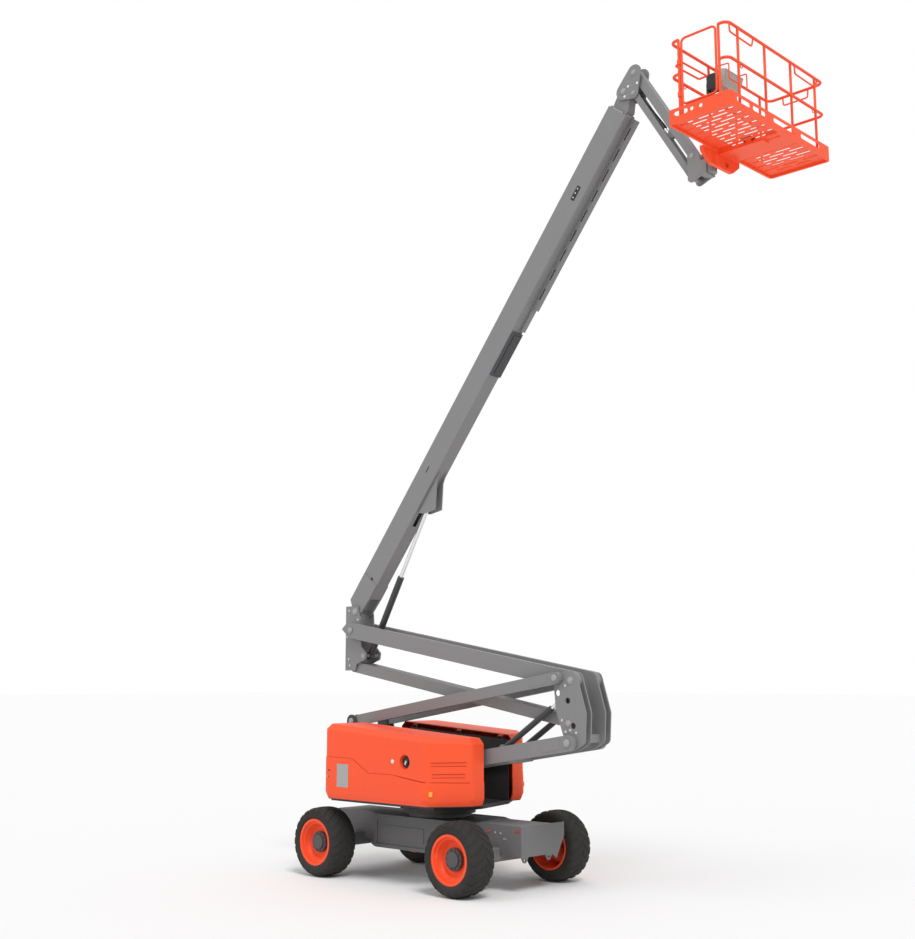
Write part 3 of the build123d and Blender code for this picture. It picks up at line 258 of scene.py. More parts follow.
def finishes():
    """All finishes by name, made once."""
    if made.get("finishes"):
        return made["finishes"]
    paint = bpy.context.scene.lift_paint
    made["finishes"] = {
        "orange_paint": finish_material(
            "orange_paint", paint.orange, 0.46, height=0.02, dust=0.04, vary=0.03, specular=0.28),
        "grey_paint": finish_material("grey_paint", paint.grey, 0.5, height=0.03, dust=0.08, specular=0.35),
        "chassis_paint": finish_material(
            "chassis_paint", paint.chassis, 0.55, height=0.05, dust=0.15, specular=0.35),
        "dark_paint": finish_material("dark_paint", paint.dark, 0.55, height=0.05, dust=0.1, specular=0.3),
        "cylinder_paint": finish_material(
            "cylinder_paint", paint.cylinder, 0.38, height=0.02, dust=0.04, specular=0.4),
        "rod_chrome": finish_material(
            "rod_chrome", (0.78, 0.79, 0.8), 0.12, metallic=1.0, height=0.0, dust=0.0, vary=0.02),
        "tyre_rubber": finish_material(
            "tyre_rubber", paint.rubber, 0.8, grain=90, height=0.2, dust=0.10, vary=0.15, specular=0.25),
        "iron": finish_material("iron", (0.05, 0.05, 0.052), 0.7, grain=70, height=0.35, dust=0.2),
        "console_plastic": finish_material(
            "console_plastic", (0.40, 0.43, 0.39), 0.5, grain=300, height=0.12, dust=0.03),
        "hub_grey": finish_material(
            "hub_grey", (0.062, 0.064, 0.068), 0.5, grain=90, height=0.2, dust=0.08),
        "pin_grey": finish_material("pin_grey", (0.34, 0.34, 0.35), 0.42, height=0.05, dust=0.05),
        "pad_grey": finish_material(
            "pad_grey", (0.055, 0.056, 0.06), 0.65, grain=220, height=0.2, dust=0.05),
        "plate_grey": finish_material(
            "plate_grey", (0.36, 0.36, 0.35), 0.5, grain=240, height=0.03, dust=0.05),
        "zinc": finish_material(
            "zinc", (0.62, 0.62, 0.60), 0.3, metallic=0.9, grain=260, height=0.06, dust=0.03),
        "black_plastic": finish_material(
            "black_plastic", (0.02, 0.02, 0.021), 0.5, grain=320, height=0.12, dust=0.03, specular=0.35),
        "white_plastic": finish_material(
            "white_plastic", (0.72, 0.72, 0.70), 0.45, grain=320, height=0.05, dust=0.03),
        "red_plastic": finish_material(
            "red_plastic", (0.62, 0.03, 0.02), 0.3, grain=320, height=0.05, dust=0.02, vary=0.04),
        # painted shadow: dark red for the lines along the hoods' crease and bar edges, where shade falls
        "painted_seam_shadow": finish_material(
            "painted_seam_shadow", (0.30, 0.022, 0.010), 0.6, grain=320, height=0.05, dust=0.02, specular=0.2),
        "amber_plastic": finish_material(
            "amber_plastic", (0.85, 0.42, 0.03), 0.28, grain=320, height=0.05, dust=0.02, vary=0.04),
    }
    return made["finishes"]


# ---------------------------------------------------------------- modelling helpers
def nothing_selected():
    if bpy.context.object and bpy.context.object.mode != "OBJECT":
        bpy.ops.object.mode_set(mode="OBJECT")
    bpy.ops.object.select_all(action="DESELECT")


def only(piece):
    """Select one object and make it active."""
    nothing_selected()
    piece.select_set(True)
    bpy.context.view_layer.objects.active = piece


def joined(parts):
    """Several objects made one."""
    nothing_selected()
    for part in parts:
        part.select_set(True)
    bpy.context.view_layer.objects.active = parts[0]
    if len(parts) > 1:
        bpy.ops.object.join()
    return bpy.context.object


def settle(piece, name, body, finish):
    """Put a finished piece's place into its mesh, name it, paint it and let it ride on its body."""
    if isinstance(piece, list):
        piece = joined(piece)
    only(piece)
    bpy.ops.object.transform_apply(location=True, rotation=True, scale=True)
    piece.name = name
    piece.data.name = name
    piece.data.materials.clear()
    piece.data.materials.append(finishes()[finish])
    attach(piece, body)
    return piece


def soften(piece, width, angle=35.0, segments=2):
    """Round a piece's sharp edges with an applied bevel, and smooth its curved faces."""
    only(piece)
    if width:
        bevel = piece.modifiers.new("edge", "BEVEL")
        bevel.width = width
        bevel.segments = segments
        bevel.limit_method = "ANGLE"
        bevel.angle_limit = radians(angle)
        bpy.ops.object.modifier_apply(modifier=bevel.name)
    bpy.ops.object.shade_smooth_by_angle(angle=radians(angle))
    even = piece.modifiers.new("even", "WEIGHTED_NORMAL")
    even.keep_sharp = True
    bpy.ops.object.modifier_apply(modifier=even.name)
    return piece


def block(centre, size, edge=0.004, turn=(0, 0, 0)):
    """A plate or box with broken edges."""
    nothing_selected()
    bpy.ops.mesh.primitive_cube_add(size=1, location=centre, rotation=[radians(a) for a in turn])
    piece = bpy.context.object
    piece.scale = size
    bpy.ops.object.transform_apply(location=False, rotation=False, scale=True)
    return soften(piece, edge)


def bar(start, end, radius, edge=0.003, sides=28):
    """A round bar, pin or disc between two points, with its rims broken."""
    run = Vector(end) - Vector(start)
    nothing_selected()
    bpy.ops.mesh.primitive_cylinder_add(
        vertices=sides, radius=radius, depth=run.length, location=(Vector(start) + Vector(end)) / 2,
        rotation=run.to_track_quat("Z", "Y").to_euler())
    return soften(bpy.context.object, edge)


def stepped_bar(start, end, steps, sides=32):
    """A turned piece: (share of the length, radius) steps from start to end, inset and extruded."""
    run = Vector(end) - Vector(start)
    nothing_selected()
    bpy.ops.mesh.primitive_circle_add(
        vertices=sides, radius=steps[0][1], fill_type="NGON", location=start,
        rotation=run.to_track_quat("Z", "Y").to_euler())
    piece = bpy.context.object
    bpy.ops.object.mode_set(mode="EDIT")
    bpy.ops.mesh.select_all(action="SELECT")
    reach, radius = steps[0]
    for share, wide in steps[1:]:
        step = run * (share - reach)
        bpy.ops.mesh.extrude_region_move(TRANSFORM_OT_translate={"value": step})
        if wide != radius:
            bpy.ops.transform.resize(value=(wide / radius,) * 3)
        reach, radius = share, wide
    bpy.ops.mesh.select_all(action="SELECT")
    bpy.ops.mesh.normals_make_consistent(inside=False)
    bpy.ops.object.mode_set(mode="OBJECT")
    return soften(piece, 0.002)


def tube(points, radius, closed=False, smooth=True, sides=6):
    """A bent tube or hose: a curve through control points, turned into a mesh."""
    nothing_selected()
    bpy.ops.curve.primitive_nurbs_path_add()
    piece = bpy.context.object
    line = piece.data
    line.splines.clear()
    spline = line.splines.new("NURBS" if smooth else "POLY")
    spline.points.add(len(points) - 1)
    for knot, place in zip(spline.points, points):
        knot.co = (*place, 1)
    spline.use_cyclic_u = closed
    if smooth:
        spline.order_u = 3
        spline.use_endpoint_u = not closed
    line.dimensions = "3D"
    line.resolution_u = 6
    line.bevel_depth = radius
    line.bevel_resolution = sides // 2
    line.use_fill_caps = True
    only(piece)
    bpy.ops.object.convert(target="MESH")
    bpy.ops.object.shade_smooth_by_angle(angle=radians(50))
    return bpy.context.object


def hoop(places, radius, reach):
    """A tube along straight runs whose corners are rounded, as a bent hand-hold."""
    points = [places[0]]
    for before, corner, after in zip(places, places[1:], places[2:]):
        for other in (before, after):
            away = Vector(other) - Vector(corner)
            points.append(tuple(Vector(corner) + away.normalized() * min(reach, away.length * 0.45)))
            if other is before:
                points.append(corner)
    points.append(places[-1])
    return tube(points, radius)


def bolt(centre, axis, radius=0.012, height=0.008):
    """A hexagon bolt head on its washer."""
    way = Vector(axis).normalized()
    foot = Vector(centre)
    washer = bar(foot, foot + way * height * 0.3, radius * 1.45, 0.0006, 20)
    head = bar(foot + way * height * 0.25, foot + way * height, radius, 0.001, 6)
    return [washer, head]


def pin_head(x, z, side, face, radius, flush=False):
    """A pivot pin's end: a flange, a raised boss and two bolts, on a cheek at y = face."""
    out = Vector((0, side, 0))
    foot = Vector((x, side * face, z))
    if flush:
        return [stepped_bar(foot - out * 0.002, foot + out * 0.0045,
                            ((0, radius), (0.7, radius), (1, radius * 0.94)))]
    pieces = [stepped_bar(foot - out * 0.002, foot + out * 0.020,
                          ((0, radius), (0.45, radius), (0.46, radius * 0.7), (0.9, radius * 0.66),
                           (1, radius * 0.5)))]
    for turn in (-1, 1):
        spot = foot + Vector((turn * radius * 0.82, 0, 0)) + out * 0.007
        pieces += bolt(spot, out, radius * 0.12, 0.006)
    return pieces


def merged_copy(node):
    """A copy of a CAD node whose loose triangles are joined."""
    source = frame["nodes"][node]
    only(source)
    bpy.ops.object.duplicate()
    piece = bpy.context.object
    for key in [k for k in piece.keys() if k.startswith("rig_")]:
        del piece[key]
    world = piece.matrix_world.copy()
    piece.parent = None
    piece.matrix_world = world
    only(piece)
    bpy.ops.object.mode_set(mode="EDIT")
    bpy.ops.mesh.select_all(action="SELECT")
    bpy.ops.mesh.remove_doubles(threshold=0.00002)
    bpy.ops.mesh.dissolve_limited(angle_limit=radians(0.5))
    bpy.ops.object.mode_set(mode="OBJECT")
    return piece


def refined(node, width, angle=35.0):
    """A copy of a CAD node with joined faces and softened edges, which stands for it."""
    piece = soften(merged_copy(node), width, angle)
    settle(piece, f"{node}_dressed", body_of_node[node], slot_of_node[node])
    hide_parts(node)
    return piece


# ---------------------------------------------------------------- operators
edge_widths = {
    "cover_right": 0.003, "cover_left": 0.003, "chassis_frame": 0.004, "boom_base": 0.008,
    "boom_mid": 0.006, "boom_fly": 0.006, "lower_arm": 0.004, "lower_links": 0.004, "upper_arm": 0.004,
    "upper_link": 0.004, "upright": 0.003, "riser_knuckle": 0.003, "jib_arm": 0.004, "jib_mount": 0.003,
    "jib_end": 0.003, "jib_link": 0.003, "counterweight": 0.008,
}
scene_made = ("tyre", "control_console", "platform_floor")


class LIFT_OT_steelwork(bpy.types.Operator):
    """Soften the edges of the welded and pressed steel pieces."""

    bl_idname = "lift.steelwork"
    bl_label = "Steelwork"

    def execute(self, context):
        for node in sorted(frame["nodes"]):
            if not node.startswith(scene_made):
                refined(node, edge_widths.get(node, 0.0))
        return {"FINISHED"}


class LIFT_OT_tyres(bpy.types.Operator):
    """Spin a tyre with leaning tread blocks, and set one on each rim."""

    bl_idname = "lift.tyres"
    bl_label = "Tyres"

    def execute(self, context):
        wheel = context.scene.lift_wheels
        low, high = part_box("tyre_front_right")
        half, radius = (high[1] - low[1]) / 2, (high[2] - low[2]) / 2
        crown = radius - wheel.tread_depth - 0.001
        # half of the section: share of the half width, drop from the crown
        outer = (
            (0.02, 0), (0.16, 0), (0.32, 0.001), (0.48, 0.003), (0.62, 0.008), (0.74, 0.015),
            (0.84, 0.027), (0.91, 0.044), (0.955, 0.068), (0.975, 0.092), (0.982, 0.118),
            (0.955, 0.140), (0.925, 0.146), (0.905, 0.150), (0.875, 0.1525), (0.82, 0.150), (0.78, 0.120))
        section = [(-half * y, crown - drop) for y, drop in reversed(outer)]
        section += [(half * y, crown - drop) for y, drop in outer]
        lean = tan(radians(wheel.tread_lean)) / crown

        def twist(y):
            return lean * min(abs(y), 0.9 * half)

        nothing_selected()
        bpy.ops.mesh.primitive_circle_add(vertices=len(section), radius=1)
        tyre = context.object
        for vertex, (y, r) in zip(tyre.data.vertices, section):
            vertex.co = (r * sin(twist(y)), y, r * cos(twist(y)))
        # each block and its gap are this many faces round, of which the gap takes the last ones
        columns, gap_columns = 7, 2
        tread_drop, middle_gap = 0.088, 0.03
        bpy.ops.object.mode_set(mode="EDIT")
        bpy.ops.mesh.select_all(action="SELECT")
        bpy.ops.mesh.spin(
            steps=columns * wheel.tread_blocks, angle=2 * pi, center=(0, 0, 0), axis=(0, 1, 0))
        bpy.ops.mesh.select_all(action="SELECT")
        bpy.ops.mesh.remove_doubles(threshold=0.0001)
        bpy.ops.mesh.normals_make_consistent(inside=False)
        bpy.ops.mesh.select_all(action="DESELECT")
        bpy.ops.object.mode_set(mode="OBJECT")
        pitch = 2 * pi / wheel.tread_blocks
        for face in tyre.data.polygons:
            x, y, z = face.center
            turn = atan2(x, z) - twist(y) + (pitch / 2 if y > 0 else 0)
            column = int((turn % pitch) / pitch * columns + 0.001)
            outside = hypot(x, z) > radius - tread_drop
            face.select = outside and abs(y) > middle_gap * half and column < columns - gap_columns
        bpy.ops.object.mode_set(mode="EDIT")
        bpy.ops.mesh.select_mode(type="FACE")
        bpy.ops.mesh.inset(thickness=0.004, depth=wheel.tread_depth)
        bpy.ops.object.mode_set(mode="OBJECT")
        soften(tyre, 0.0, 32)
        for corner in corners:
            low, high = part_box(f"tyre_{corner}")
            only(tyre)
            bpy.ops.object.duplicate()
            piece = context.object
            piece.location = [(a + b) / 2 for a, b in zip(low, high)]
            settle(piece, f"tyre_{corner}_treaded", f"wheel_{corner}", "tyre_rubber")
            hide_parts(f"tyre_{corner}")
        only(tyre)
        bpy.ops.object.delete()
        return {"FINISHED"}


class LIFT_OT_hubs(bpy.types.Operator):
    """Set a dark hub and its bolts on each rim."""

    bl_idname = "lift.hubs"
    bl_label = "Hubs"

    def execute(self, context):
        wheel = context.scene.lift_wheels
        for corner in corners:
            low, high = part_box(f"rim_{corner}")
            side = -1 if corner.endswith("right") else 1
            x, z = (low[0] + high[0]) / 2, (low[2] + high[2]) / 2
            spots = [v.co for v in frame["nodes"][f"rim_{corner}"].data.vertices]
            disc = 0.1      # the rim's middle, where the hub stands
            face = max(abs(v.y) for v in spots if hypot(v.x - x, v.z - z) < disc)
            foot, out = Vector((x, side * face, z)), Vector((0, side, 0))
            r = wheel.hub_radius
            hub = stepped_bar(foot - out * 0.03, foot + out * 0.062, (
                (0, r), (0.62, r), (0.70, r * 0.96), (0.701, r * 0.72), (0.93, r * 0.70), (1, r * 0.62)))
            settle(hub, f"hub_{corner}", f"wheel_{corner}", "hub_grey")
            nuts = []
            for turn in range(wheel.bolts):
                angle = 2 * pi * turn / wheel.bolts
                spot = foot + out * 0.034 + Vector((cos(angle), 0, sin(angle))) * r * 0.85
                nuts += bolt(spot, out, 0.011, 0.012)
            settle(nuts, f"hub_bolts_{corner}", f"wheel_{corner}", "iron")
        return {"FINISHED"}


class LIFT_OT_pins(bpy.types.Operator):
    """Set the heads of the pivot pins on the cheeks and knuckles."""

    bl_idname = "lift.pins"
    bl_label = "Pivot pins"

    def execute(self, context):
        # distances from the centre plane: plates' outsides and the ends of pins that reach past an arm
        tower_plate, knuckle_plate, upright_plate, head_plate = 0.394, 0.277, 0.165, 0.106
        knuckle_pin, upright_pin = 0.370, 0.258
        # joint, body that holds the pin, distance of the head's foot, head's radius
        heads = (
            ("riser_lift", "turntable", tower_plate, 0.052),
            ("riser_links", "turntable", tower_plate, 0.050),
            ("knuckle_level", "riser_knuckle", knuckle_pin, 0.054),
            ("upper_riser", "riser_knuckle", knuckle_plate, 0.05),
            ("upper_riser_link", "riser_knuckle", knuckle_plate, 0.044),
            ("upright_level", "upright", upright_pin, 0.050),
            ("boom_lift", "upright", upright_plate, 0.056),
            ("boom_cylinder_swing", "upright", upright_plate, 0.040),
            ("head_level", "jib_mount", head_plate, 0.046), ("jib_lift", "jib_mount", head_plate, 0.040),
            ("jib_link", "jib_mount", head_plate, 0.036), ("jib_end_level", "jib_end", head_plate, 0.038))
        for joint, body, face, radius in heads:
            x, _, z = joints[joint]["pos_m"]
            # the upper arm's cheek sweeps close past the lift cylinder's pin, so its head is flush
            flush = joint == "boom_cylinder_swing"
            parts = pin_head(x, z, -1, face, radius, flush) + pin_head(x, z, 1, face, radius, flush)
            settle(parts, f"pin_{joint}", body, "pin_grey")
        x, z = link_head
        settle(pin_head(x, z, -1, knuckle_pin, 0.05) + pin_head(x, z, 1, knuckle_pin, 0.05),
               "pin_link_head", "riser_knuckle", "pin_grey")
        # plates' bolts, clear of the arms' sweep: body, distance of the plate, places (x, z)
        rows = (
            ("riser_knuckle", knuckle_plate,
             ((2.66, 2.80), (2.60, 2.34), (2.66, 2.19), (2.74, 2.21), (2.84, 2.18))),
            ("upright", upright_plate,
             ((-1.892, 3.969), (-1.68, 3.82), (-1.93, 3.55), (-1.886, 3.199), (-1.863, 3.10))),
            ("jib_mount", head_plate, ((3.735, 10.93), (3.80, 11.06), (3.955, 11.06))))
        for body, face, places in rows:
            parts = []
            for side in (-1, 1):
                for x, z in places:
                    parts += bolt((x, side * face, z), (0, side, 0), 0.013, 0.010)
            settle(parts, f"{body}_bolts", body, "zinc")
        return {"FINISHED"}


class LIFT_OT_hood_fittings(bpy.types.Operator):
    """Set the latches, knobs, blank plates, painted shadow lines along the crease and bars, markers and
    marks on the hoods.
    """

    bl_idname = "lift.hood_fittings"
    bl_label = "Hood fittings"

    def execute(self, context):
        cup_depth, handle_lean = 0.051, (0, 25, 0)
        plate_x, plate_z, plate_wide, plate_tall = -0.81, 1.49, 0.25, 0.33
        groove = 0.008      # how far the upper skin, the painted shadow lines and the bars lie below the skin
        for name, side in (("right", -1), ("left", 1)):
            body = f"cover_{name}"
            skin = max(abs(c[1]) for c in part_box(f"cover_{name}"))
            upper, out = skin - groove, Vector((0, side, 0))
            cup = Vector((0.5, side * (upper - cup_depth), 1.74))
            handle = cup + Vector((0.012, 0, 0.012))
            settle([stepped_bar(cup, cup + out * 0.012, ((0, 0.085), (1, 0.085), (1.01, 0.06))),
                    block(handle + out * 0.020, (0.075, 0.022, 0.10), 0.006, handle_lean)],
                   f"hood_latch_{name}", body, "black_plastic")
            settle([block(cup + out * 0.032 - Vector((0, 0, 0.01)), (0.028, 0.010, 0.060), 0.003,
                          handle_lean)], f"hood_latch_key_{name}", body, "zinc")
            knob = Vector((0.252, side * upper, 1.738))
            settle(stepped_bar(knob - out * 0.002, knob + out * 0.012, (
                (0, 0.030), (0.4, 0.030), (0.8, 0.024), (1, 0.010))),
                   f"hood_knob_{name}", body, "white_plastic")
            plate = block((plate_x, side * (skin + 0.0002), plate_z),
                          (plate_wide, 0.004, plate_tall), 0.0012)
            rivets = []
            for dx in (0.013 - plate_wide / 2, plate_wide / 2 - 0.013):
                for dz in (0.015 - plate_tall / 2, plate_tall / 2 - 0.015):
                    foot = Vector((plate_x + dx, side * (skin + 0.001), plate_z + dz))
                    rivets += [bar(foot, foot + out * 0.0025, 0.006, 0.0008, 14)]
            settle(plate, f"hood_plate_{name}", body, "plate_grey")
            settle(rivets, f"hood_plate_rivets_{name}", body, "zinc")
            bend, nose, nose_y = hood_noses[name]

            def on_nose(share, z, sunk):
                """A place on the hood's angled face, a share of the way from its bend to its nose."""
                run_x, run_y = nose - bend, skin - nose_y
                length = hypot(run_x, run_y)
                return (bend + run_x * share - sunk * run_y / length,
                        side * (skin - run_y * share - sunk * run_x / length), z)

            # painted shadow: a dark line at the crease's ledge between upper and lower skin, where shade
            # falls: along the side, round the bend, across the nose
            crease = [(x, side * (upper - drawn_in), z) for x, drawn_in, z in (
                (-1.13, 0, 1.747), (-0.61, 0, 1.740), (-0.25, 0, 1.550), (0.26, 0, 1.550),
                (bend - 0.075, 0, 1.487), (bend - 0.042, 0.003, 1.485), (bend - 0.011, 0.015, 1.483),
                (bend + 0.020, 0.040, 1.481))]
            crease += [on_nose(share, 1.480 - 0.012 * share, groove) for share in (0.12, 0.94)]
            painted_shadow_lines = [tube(crease, 0.0045, smooth=False)]
            # painted shade: dark lines along the top and bottom edges of the two sunken bars on the nose
            for z, margin in ((1.745, 0.13), (1.695, 0.13), (1.59, 0.16), (1.54, 0.16)):
                ends = [on_nose(margin, z, groove), on_nose(1 - margin, z, groove)]
                painted_shadow_lines += [tube(ends, 0.0032, smooth=False)]
            # the painted shadow lines take the dark red painted shadow finish
            settle(painted_shadow_lines, f"hood_painted_shadow_lines_{name}", body, "painted_seam_shadow")
            lamp = [block(on_nose(0.13, 1.322, 0.0), (0.035, 0.05, 0.07), 0.006,
                          (0, 0, side * degrees(atan2(nose - bend, skin - nose_y))))]
            settle(lamp, f"hood_marker_{name}", body, "amber_plastic")
            marks = [block((-1.115, side * (skin - 0.006), 1.556), (0.05, 0.012, 0.022), 0.002),
                     block((-1.137, side * (skin - 0.006), 1.466), (0.05, 0.012, 0.03), 0.002)]
            settle(marks, f"hood_marks_{name}", body, "plate_grey")
        return {"FINISHED"}


class LIFT_OT_floor_tray(bpy.types.Operator):
    """Press the platform floor's two slotted fields out of thin sheet inside its rim."""

    bl_idname = "lift.floor_tray"
    bl_label = "Floor tray"

    def execute(self, context):
        low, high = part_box("platform_floor")
        floor = merged_copy("platform_floor")
        sheet, rim, below = 0.010, 0.030, 0.2
        strip_right, strip_left = -0.09, 0.37       # the solid strip between the two fields
        for y0, y1 in ((low[1] + rim, strip_right), (strip_left, high[1] - rim)):
            centre = ((low[0] + high[0]) / 2, (y0 + y1) / 2, (low[2] + high[2]) / 2 - sheet - below / 2)
            pocket = block(centre, (high[0] - low[0] - 2 * rim, y1 - y0, high[2] - low[2] + below), 0)
            only(floor)
            cut = floor.modifiers.new("pocket", "BOOLEAN")
            cut.operation = "DIFFERENCE"
            cut.object = pocket
            bpy.ops.object.modifier_apply(modifier=cut.name)
            only(pocket)
            bpy.ops.object.delete()
        soften(floor, 0.0)
        settle(floor, "platform_floor_tray", "platform", "orange_paint")
        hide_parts("platform_floor")
        return {"FINISHED"}


class LIFT_OT_doublers(bpy.types.Operator):
    """Weld doubling plates on the riser arms beside the knuckle's pins."""

    bl_idname = "lift.doublers"
    bl_label = "Doublers"

    def execute(self, context):
        rise, back, cheek = radians(9.19), 0.30, 0.3635     # arms' slope, distance from the pin, place in y
        for body, (x, z), width in (("lower_arm", joints["knuckle_level"]["pos_m"][::2], 0.13),
                                    ("lower_links", link_head, 0.10)):
            plates = []
            for side in (-1, 1):
                centre = (x - back * cos(rise), side * cheek, z - back * sin(rise))
                plates += [block(centre, (0.34, 0.005, width), 0.0018, (0, -degrees(rise), 0))]
            settle(plates, f"{body}_doublers", body, "grey_paint")
        return {"FINISHED"}


class LIFT_OT_boom_fittings(bpy.types.Operator):
    """Set the rest pad, slot covers, hole covers and wear pads on the boom."""

    bl_idname = "lift.boom_fittings"
    bl_label = "Boom fittings"

    def execute(self, context):
        pivot = joints["boom_lift"]["pos_m"]
        along = Vector(joints["boom_extend"]["axis"])
        above = Vector((-along.z, 0, along.x))
        tilt = -degrees(atan2(along.z, along.x))

        def at(run, rise, y=0.0):
            """A place so far along the boom from its pivot, so far above it and from the centre plane."""
            return Vector((pivot[0], y, pivot[2])) + along * run + above * rise

        pad_run, slot_run, mouth_run = 4.85, 7.40, 8.672
        skin, slot_rise, slot_gap = 0.1205, 0.04, 0.07

        settle([block(at(pad_run, -0.132), (0.74, 0.20, 0.055), 0.008, (0, tilt, 0)),
                block(at(pad_run, -0.166), (0.66, 0.15, 0.022), 0.006, (0, tilt, 0))],
               "boom_rest_pad", "boom_base", "pad_grey")
        settle([block(at(slot_run, slot_rise, side * (skin + 0.0005)), (0.22, 0.006, 0.075), 0.0025,
                      (0, tilt, 0)) for side in (-1, 1)], "boom_slot_covers", "boom_base", "black_plastic")
        dots = []
        for side in (-1, 1):
            for run in (slot_run - slot_gap, slot_run, slot_run + slot_gap):
                foot = at(run, slot_rise, side * (skin + 0.0035))
                dots += [bar(foot, foot + Vector((0, side * 0.004, 0)), 0.011, 0.001, 16)]
        settle(dots, "boom_slot_bolts", "boom_base", "zinc")
        holes = []
        for side in (-1, 1):
            for run, rise, length, width in ((0.565, 0.05, 0.13, 0.055), (2.661, 0.09, 0.11, 0.018)):
                holes += [block(at(run, rise, side * skin), (length, 0.003, width), 0.0012, (0, tilt, 0))]
        settle(holes, "boom_hole_covers", "boom_base", "black_plastic")
        # wear pads round the base section's mouth
        pads = [block(at(mouth_run, rise), (0.02, 0.16, 0.02), 0.003, (0, tilt, 0))
                for rise in (0.2535, -0.1015)]
        pads += [block(at(mouth_run, 0.076, side * 0.1075), (0.02, 0.02, 0.22), 0.003, (0, tilt, 0))
                 for side in (-1, 1)]
        settle(pads, "boom_wear_pads", "boom_base", "plate_grey")
        return {"FINISHED"}


